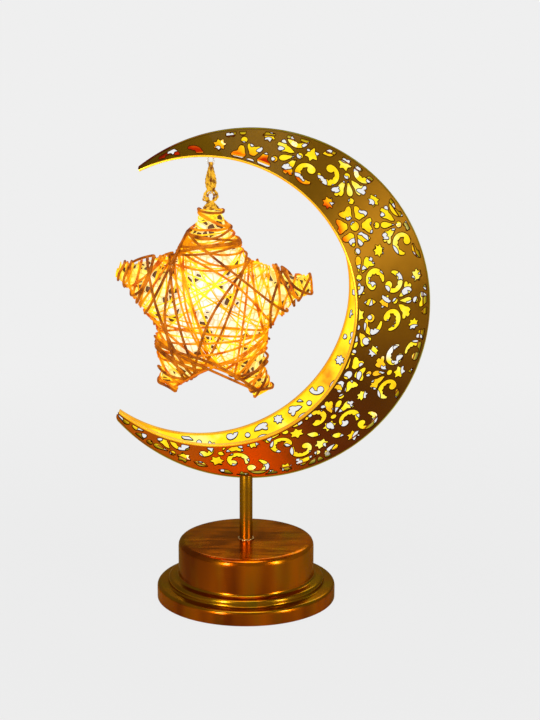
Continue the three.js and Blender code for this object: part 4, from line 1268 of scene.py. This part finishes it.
def chord(spots, face, layer):
    # The same strand laid over one face of the star
    fills = [min(starFill(spot.x, spot.y, layer), 1) for spot in spots]
    depths = [(star["depth"] - layer) * math.sqrt(1 - fill ** star["fullness"]) for fill in fills]
    taut = tautDepths(depths, eased(winding["steps"]))
    return [Vector((star["x"] + spot.x, face * deep, star["z"] + spot.y)) for spot, deep in zip(spots, taut)]


def wind(anchors, looks, draw):
    # One strand that goes from edge to edge, over the front and the back by turns
    route = []
    face = draw.choice((-1, 1))
    for start, end in zip(anchors, anchors[1:]):
        layer = looks["layer"] + draw.uniform(*winding["unevenness"])
        spots = bowed(start, end, draw.uniform(-looks["bow"], looks["bow"]))
        if not staysInside(spots, looks["layer"]):
            spots = bowed(start, end, 0)
        piece = chord(spots, face, layer)
        route.extend(piece[1:] if route else piece)
        face = -face
    return softened(route)


def softened(route):
    for _ in range(2):
        middle = [(before + 2 * here + after) / 4 for before, here, after in zip(route, route[1:], route[2:])]
        route = [route[0]] + middle + [route[-1]]
    return route


def armAnchors(arm, looks, draw):
    # Out to the tip and back, each pass leaning at random so that they cross
    inner = winding["armRoot"]
    outer = star["reaches"][arm] - winding["tipGap"]
    passes = looks["armPasses"]
    anchors = []
    for step in range(passes + 1):
        share = 1 - abs(2 * step / passes - 1)
        out = inner + (outer - inner) * share + draw.uniform(-0.5, 0.5) * looks["lean"]
        held = min(max(out, inner), outer - draw.uniform(0, winding["tipSpread"]))
        anchors.append(flank(arm, held, 1 if step % 2 else -1, looks["layer"]))
    return anchors


def bodyAnchors(looks, draw):
    # From near one notch over the middle of the star to near another
    spread = winding["notchSpread"]
    layer = looks["layer"]
    notch = draw.randrange(5)
    anchors = [edgePoint(notchAngle(notch), layer)]
    while len(anchors) < looks["crossings"]:
        following = (notch + draw.choice((1, 2, 2, 3, 3, 4))) % 5  # far notches twice as often as near ones
        anchor = edgePoint(notchAngle(following) + draw.uniform(-spread, spread), layer)
        if staysInside(bowed(anchors[-1], anchor, 0), layer):
            anchors.append(anchor)
            notch = following
    return anchors


def strandMesh(looks):
    draw = random.Random(looks["seed"])
    routes = [wind(armAnchors(arm, looks, draw), looks, draw) for arm in range(5)]
    routes.append(wind(bodyAnchors(looks, draw), looks, draw))
    return curveMesh(routes, looks["radius"], 1)


def rattan(looks):
    # A split cane strand: cloudy amber, fine fibres, dull sheen, with a painted glow and painted yellow glare
    # near the hot spots for the light from inside the star
    material, place = newMaterial(looks["cane"])
    patch = noise(place, 8, 2)
    fibre = noise(place, looks["grain"], 3)
    lit = band(patch + (fibre - 0.5) * 0.35, 0.34, 0.66)
    hot = nearness(place, hotSpots)
    colour = mixed(hot ** 1.5, mixed(lit, looks["dark"], looks["light"]), tone(255, 226, 50))
    dress(place, Base_Color=faded(colour, 0.5), Roughness=0.5 + fibre * 0.2, Specular_IOR_Level=0.15,
          Emission_Color=colour, Emission_Strength=looks["glow"], Normal=bump(fibre, 0.5, 0.2))
    return material


def glowMaterial():
    # The lit inside: white at the lights, yellow around, orange towards the tips, with a net of
    # deeper strands and a few gaps painted dark as shade
    material, place = newMaterial("star_glow")
    away = distanceFrom(place, (star["x"], 0, star["z"]))
    cloud = noise(place, 7, 3)
    heat = (1.2 - away / (92 * mm) + (cloud - 0.5) * 0.9).held()
    colour = mixed(nearness(place, hotSpots) ** 1.4, ramp(heat, starLight["tones"]), (1, 1, 1, 1))
    edge = cells(place, starLight["gap"], "DISTANCE_TO_EDGE")
    net = (1 - band(edge, 0.03, 0.12)) * 0.6
    colour = mixed(net, colour, starLight["net"])
    chance = place.node("ShaderNodeSeparateColor", {0: cells(place, starLight["gap"], "F1", "Color")})
    # Painted shade in a few gaps between the strands
    dark = (chance > 0.86 - away / (260 * mm)) * (edge > 0.1)
    colour = mixed(dark, colour, starLight["dark"])
    dress(place, Base_Color=faded(colour, 0.2), Roughness=0.6, Emission_Color=colour, Emission_Strength=1.0)
    return material


def buildStar():
    form = ball(1, (0, 0, 0), *star["glowMesh"])
    bmesh.ops.rotate(form, verts=form.verts, cent=(0, 0, 0), matrix=Matrix.Rotation(math.pi / 2, 3, "X"))
    for vert in form.verts:
        x, y, z = vert.co
        reach = starReach(math.degrees(math.atan2(z, x)) % 360) - star["glowLayer"]
        vert.co = (star["x"] + reach * x, (star["depth"] - star["glowLayer"]) * y, star["z"] + reach * z)
    addPiece("star_glow", meshOf(form, sharp=180), "star", [glowMaterial()], ["star_core"])
    for name, looks in strands.items():
        addPiece(f"star_strands_{name}", strandMesh(looks), "star", [rattan(looks)], looks["nodes"])


buildStar()


# Hanging gear: a clear link on its pin, the twine loop and the coil that ties it to the star

print("stage 5: hanging gear")

hanger = {
    "linkTop": 286.78,
    "linkBottom": 276.78,
    "linkRadius": 1.7,
    "linkWire": 0.5,
    "gatherTop": 262.2,
    "diamondMiddle": 257.7,
    "diamondBottom": 253.5,
    "diamondHalf": 4.2,
    "linkSteps": 14,
    "coilSteps": 22,  # in one turn
    # Each diamond in another: its share of the width, and how far down its top lies, where 1 is
    # the diamond's middle
    "diamonds": [(1, 0), (0.74, 0), (0.45, 0.5)],
    "waist": {"turns": 3, "radii": (1.5, 1.3), "heights": (1.5, -1.2)},  # about the gathered top
    "neck": {"turns": 5, "radii": (1.4, 4.8), "heights": (0.6, -3.1)},  # about the diamond's bottom
    "tail": (-1.8, -9.5),  # from the diamond's bottom, down into the star
}

# The loose end that curls out at the left
curl = {
    "left": 3.6,
    "above": 2.6,  # the diamond's bottom
    "front": (0.9, 1.4),  # how far in front of the hanger's line it starts and ends
    "radii": (1.84, 0.48),
    "from": -70,
    "turn": 460,
    "steps": 26,
}

twine = {
    "loops": 7,
    "strand": 0.36,
    "twist": 0.28,  # from the middle of the twine to the middle of each of its two strands
    "pitch": 4.5,
    "spreadAtLink": 0.7,
    "spreadBelow": 2.8,
    "light": tone(250, 192, 44),
    "dark": tone(120, 54, 0),
    # strength of the painted glow
    "glow": 0.36,
}


def plied(route, reference):
    # Two thin strands twisted round a route; reference is a direction that the route never takes
    strandPair = [[], []]
    travelled = 0
    for i, spot in enumerate(route):
        behind = route[max(i - 1, 0)]
        along = (route[min(i + 1, len(route) - 1)] - behind).normalized()
        side = along.cross(Vector(reference)).normalized()
        up = along.cross(side)
        travelled += (spot - behind).length
        for k in range(2):
            angle = 2 * math.pi * (travelled / twine["pitch"] + k / 2)
            strandPair[k].append(spot + (side * math.cos(angle) + up * math.sin(angle)) * twine["twist"])
    return strandPair


def loopRoute(share):
    # One loop over the link's bottom, share -1 to 1 from left to right, front run first. Each
    # point is given across, forwards and up
    x = star["x"]
    bend = hanger["linkWire"] + 2 * twine["twist"] + twine["strand"]
    low = hanger["gatherTop"]
    high = hanger["linkBottom"]
    near = share * twine["spreadAtLink"]
    wide = share * twine["spreadBelow"]
    run = [
        (wide * 0.5, 0.3, low - 1.5),
        (wide * 0.95, 0.6, low + 2),
        (wide, 1.0, low + 6),
        (near, bend, high),
    ]
    front = [(x + across, -deep, z) for across, deep, z in run]
    back = [(x + across, deep, z) for across, deep, z in reversed(run)]
    return smoothed(front + [(x + near, 0, high + bend)] + back, 12)


def diamondRoute(side, wide, start):
    # Half of the diamond under the bundle, bowed out to one side
    x = star["x"]
    middle = hanger["diamondMiddle"]
    bottom = hanger["diamondBottom"]
    points = [
        (x + side * 0.3, side * 0.5, start),
        (x + side * wide * 0.7, side * 0.5, (start + middle) / 2 + 0.7),
        (x + side * wide, 0, middle),
        (x + side * wide * 0.6, -side * 0.3, (middle + bottom) / 2 - 0.4),
        (x - side * 0.5, -side * 0.5, bottom),
    ]
    return smoothed(points, 10)


def between(pair, share):
    return pair[0] + (pair[1] - pair[0]) * share


def coilRoute(coil, height):
    # Wraps round the hanger's line, from the top down
    steps = coil["turns"] * hanger["coilSteps"]
    route = []
    for step in range(steps + 1):
        share = step / steps
        x, y = turned(between(coil["radii"], share), 0, 360 * coil["turns"] * share)
        route.append(Vector((star["x"] + x, y, height + between(coil["heights"], share))))
    return route


def curlRoute():
    middle = hanger["diamondBottom"] + curl["above"]
    route = []
    for step in range(curl["steps"] + 1):
        share = step / curl["steps"]
        x, z = turned(between(curl["radii"], share), 0, curl["from"] + curl["turn"] * share)
        y = -between(curl["front"], share)
        route.append(Vector((star["x"] - curl["left"] + x, y, middle + z)))
    return route


def twineLooks():
    # Golden twine: light and dark fibres along the twist, a dull waxed sheen, and a painted glow
    material, place = newMaterial("twine_gold")
    fibre = noise(stretched(place, (1, 1, 0.2)), 1.1, 3)
    cloud = noise(place, 4, 2)
    lit = band(fibre + (cloud - 0.5) * 0.9, 0.34, 0.6)
    colour = mixed(lit, twine["dark"], twine["light"])
    dress(place, Base_Color=faded(colour, 0.6), Roughness=0.5 + fibre * 0.2, Specular_IOR_Level=0.2,
          Emission_Color=colour, Emission_Strength=twine["glow"], Normal=bump(fibre, 0.6, 0.15))
    return material


def linkLooks():
    # Clear plastic with faint clouds and moulding marks
    material, place = newMaterial("plastic_clear")
    cloud = noise(place, 3, 3)
    grain = noise(place, 0.6, 2)
    dress(place, Base_Color=mixed(cloud, tone(226, 228, 224), tone(250, 250, 246)),
          Roughness=0.12 + grain * 0.16, Transmission_Weight=0.35, Normal=bump(grain, 0.2, 0.05))
    return material


def buildHanger():
    x = star["x"]
    radius = hanger["linkRadius"]
    upper = arc(x, hanger["linkTop"] - radius, radius, 0, 180, hanger["linkSteps"])
    lower = arc(x, hanger["linkBottom"] + radius, radius, 180, 360, hanger["linkSteps"])
    link = curveMesh([[Vector((px, 0, pz)) for px, pz in upper + lower]], hanger["linkWire"], 3, closed=True)
    clear = linkLooks()
    addPiece("link_ring", link, "link", [clear], ["hang_link"])

    gold = twineLooks()
    gathered = hanger["gatherTop"]
    bottom = hanger["diamondBottom"]
    runs = []
    for index in range(twine["loops"]):
        runs += plied(loopRoute(2 * index / (twine["loops"] - 1) - 1), (1, 0, 0))
    for side in (1, -1):
        for share, drop in hanger["diamonds"]:
            top = between((gathered, hanger["diamondMiddle"]), drop)
            runs += plied(diamondRoute(side, hanger["diamondHalf"] * share, top), (0, 1, 0))
    runs += plied(coilRoute(hanger["waist"], gathered), (0, 0, 1))
    runs += plied(curlRoute(), (0, 1, 0))
    addPiece("twine_bundle", curveMesh(runs, twine["strand"], 1), "loop", [gold], ["twine_loop"])

    wraps = plied(coilRoute(hanger["neck"], bottom), (0, 0, 1))
    wraps += plied(smoothed([(x, 0, bottom + height) for height in hanger["tail"]], 20), (1, 0, 0))
    addPiece("star_tie", curveMesh(wraps, twine["strand"], 1), "star", [gold], ["star_knot"])
    return clear


clearPlastic = buildHanger()


# Fittings: cells, feet, lights, and finishes for the CAD parts that stay as they are

print("stage 6: fittings")

# What a finish has unless it says otherwise
plainFinish = {"stretch": (1, 1, 1), "drift": 0.2, "relief": 0.2, "metallic": 0.0}

finishes = {
    "plastic_black": {
        "dark": tone(16, 16, 18), "light": tone(40, 40, 43), "cloud": 15, "grain": 0.45,
        "roughness": 0.5, "drift": 0.24, "relief": 0.4,
        "nodes": ["bottom_plate", "battery_door", "switch_body", "switch_knob"],
    },
    "steel_zinc": {
        "dark": tone(148, 150, 152), "light": tone(206, 206, 200), "cloud": 5, "grain": 0.8,
        "stretch": (1, 1, 0.1), "roughness": 0.3, "drift": 0.3, "metallic": 1.0,
        "nodes": ["door_pin", "hanger_pin", "star_frame", "stem_nut", "stem_washer", "plate_screw",
                  "plus_contact", "minus_leaf"],
    },
    "copper_enamel": {
        "dark": tone(150, 74, 30), "light": tone(222, 138, 70), "cloud": 6, "grain": 0.5,
        "stretch": (1, 1, 0.3), "roughness": 0.25, "relief": 0.15, "metallic": 1.0,
        "nodes": ["moon_wire", "star_wire"],
    },
    "sleeve_red": {
        "dark": tone(120, 12, 10), "light": tone(190, 28, 22), "cloud": 6, "grain": 0.4, "roughness": 0.4,
        "nodes": ["battery_lead"],
    },
    "sleeve_pale": {
        "dark": tone(196, 190, 174), "light": tone(232, 228, 216), "cloud": 7, "grain": 0.4,
        "roughness": 0.42,
        "nodes": ["switch_lead", "stem_lead"],
    },
}

rubber = {
    "dark": tone(24, 24, 25), "light": tone(52, 52, 54), "cloud": 6, "grain": 0.35,
    "roughness": 0.8, "drift": 0.15, "relief": 0.5,
    "footRound": 0.5,
    "steps": 48,
}

cell = {
    "sleeve": tone(20, 22, 26),
    "band": tone(206, 128, 30),
    "steel": tone(196, 196, 192),
    "bandFrom": 9.0,
    "bareMinus": 1.4,  # how much of each end the sleeve leaves bare
    "barePlus": 2.4,
    "edge": 0.5,
    "rim": 0.8,  # width of the sleeve's edge, shrunk over the flat end
    "rimDrop": 0.3,
    "buttonRadius": 2.0,
    "buttonHeight": 1.2,
    "buttonSkirt": 1.4,
    "steps": 56,
}

board = {
    "mask": tone(14, 84, 44),
    "trace": tone(34, 124, 62),
    "chip": tone(24, 24, 26),
    "top": 7.3,
}

beads = {
    "glass": tone(255, 236, 176),
    "rim": tone(255, 196, 70),
    "glow": 1.0,
    "mesh": (28, 16),
}


def surface(name, looks):
    # Cloudy tones, a fine grain that catches the light and uneven sheen
    looks = {**plainFinish, **looks}
    material, place = newMaterial(name)
    cloud = noise(place, looks["cloud"], 3)
    grain = noise(stretched(place, looks["stretch"]), looks["grain"], 3)
    amount = band(cloud + (grain - 0.5) * 0.5, 0.3, 0.7)
    rough = looks["roughness"] + (grain - 0.5) * looks["drift"] + (cloud - 0.5) * looks["drift"]
    dress(place, Base_Color=mixed(amount, looks["dark"], looks["light"]), Roughness=rough,
          Metallic=looks["metallic"], Normal=bump(grain, looks["relief"], looks["grain"] * 0.25))
    return material


def finish(kinds, material):
    for name in nodesOf(*kinds):
        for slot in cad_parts[name].material_slots:
            slot.material = material


def buildFeet():
    looks = surface("rubber_black", rubber)
    ease = rubber["footRound"]
    for name in nodesOf("rubber_foot", "centre_pad"):
        low, high, middle = corners(name)
        radius = (high.x - low.x) / 2
        path = [(0, low.z, 0), (radius, low.z, ease), (radius, high.z, ease / 2), (0, high.z, 0)]
        form = spun(rounded(path, 4), rubber["steps"], middle.x, middle.y)
        addPiece(f"{name}_turned", meshOf(form), "lamp", [looks], [name])


def cellLooks(name, middle, facing, half):
    # Printed sleeve in two plain colours, shrunk over steel ends
    material, place = newMaterial(name)
    along = (split(place)[0] - middle.x * mm) * facing
    start = cell["bareMinus"] - half
    end = half - cell["barePlus"]
    sleeved = span(along, (start, start + 0.1)) - span(along, (end, end + 0.1))
    banded = span(along, (cell["bandFrom"], cell["bandFrom"] + 0.1))
    cloud = noise(place, 7, 3)
    scuff = noise(stretched(place, (0.2, 1, 1)), 0.8, 3)
    sleeve = mixed(banded, cell["sleeve"], cell["band"])
    colour = mixed(sleeved.held(), cell["steel"], faded(sleeve, 0.85 + scuff * 0.15))
    rough = 0.28 + (scuff - 0.5) * 0.2 + (cloud - 0.5) * 0.1
    dress(place, Base_Color=colour, Roughness=rough, Metallic=1 - sleeved.held() * 0.9,
          Normal=bump(scuff, 0.15, 0.05))
    return material


def buildCells():
    for index in (1, 2):
        low, high, middle = corners(f"cell_{index}")
        facing = 1 if corners(f"plus_contact_{index}")[2].x > middle.x else -1
        radius = (high.z - low.z) / 2
        half = (high.x - low.x) / 2
        button = cell["buttonRadius"]
        drop = cell["rimDrop"]
        shoulder = half - cell["buttonHeight"]
        profile = rounded([
            (0, -half, 0),
            (radius - cell["rim"] - 0.2, -half, 0),
            (radius - cell["rim"], -half + drop, 0.1),
            (radius, -half + drop, cell["edge"]),
            (radius, shoulder, cell["edge"]),
            (button + cell["buttonSkirt"], shoulder - drop, 0.2),
            (button, shoulder, 0.2),
            (button, half, 0.3),
            (0, half, 0),
        ], 4)
        form = spun(profile, cell["steps"])
        turn = Matrix.Rotation(facing * math.pi / 2, 4, "Y")
        bmesh.ops.transform(form, matrix=Matrix.Translation(middle) @ turn, verts=form.verts)
        looks = cellLooks(f"cell_looks_{index}", middle, facing, half)
        addPiece(f"cell_{index}_turned", meshOf(form), "lamp", [looks], [f"cell_{index}"])


def boardLooks():
    # Solder mask over fine traces, with dark moulded parts on top
    material, place = newMaterial("board_green")
    z = split(place)[2]
    lines = cells(stretched(place, (1, 1, 0)), 2.6, "DISTANCE_TO_EDGE")
    grain = noise(place, 0.5, 3)
    face = mixed(band(lines, 0.08, 0.12), board["trace"], board["mask"])
    colour = mixed(span(z, (board["top"], board["top"] + 0.06)), face, board["chip"])
    dress(place, Base_Color=colour, Roughness=0.32 + grain * 0.2, Normal=bump(grain - lines, 0.3, 0.05))
    return material


def beadLooks():
    # A lamp in its drop of clear resin, brightest where the chip sits
    material, place = newMaterial("lamp_bead")
    swirl = noise(place, 1.1, 2)
    colour = mixed(band(swirl, 0.35, 0.6), beads["rim"], beads["glass"])
    dress(place, Base_Color=colour, Roughness=0.1 + swirl * 0.1, Emission_Color=colour,
          Emission_Strength=beads["glow"])
    return material


def buildBeads():
    looks = beadLooks()
    for kind, body in (("moon_light", "lamp"), ("star_light", "star")):
        for name in nodesOf(kind):
            low, high, middle = corners(name)
            form = ball((high.y - low.y) / 2, middle, *beads["mesh"])
            addPiece(f"{name}_bead", meshOf(form), body, [looks], [name])


buildFeet()
buildCells()
buildBeads()
finish(["driver_board"], boardLooks())
finish(["wire_clip"], clearPlastic)
for finishName, looks in finishes.items():
    finish(looks["nodes"], surface(finishName, looks))
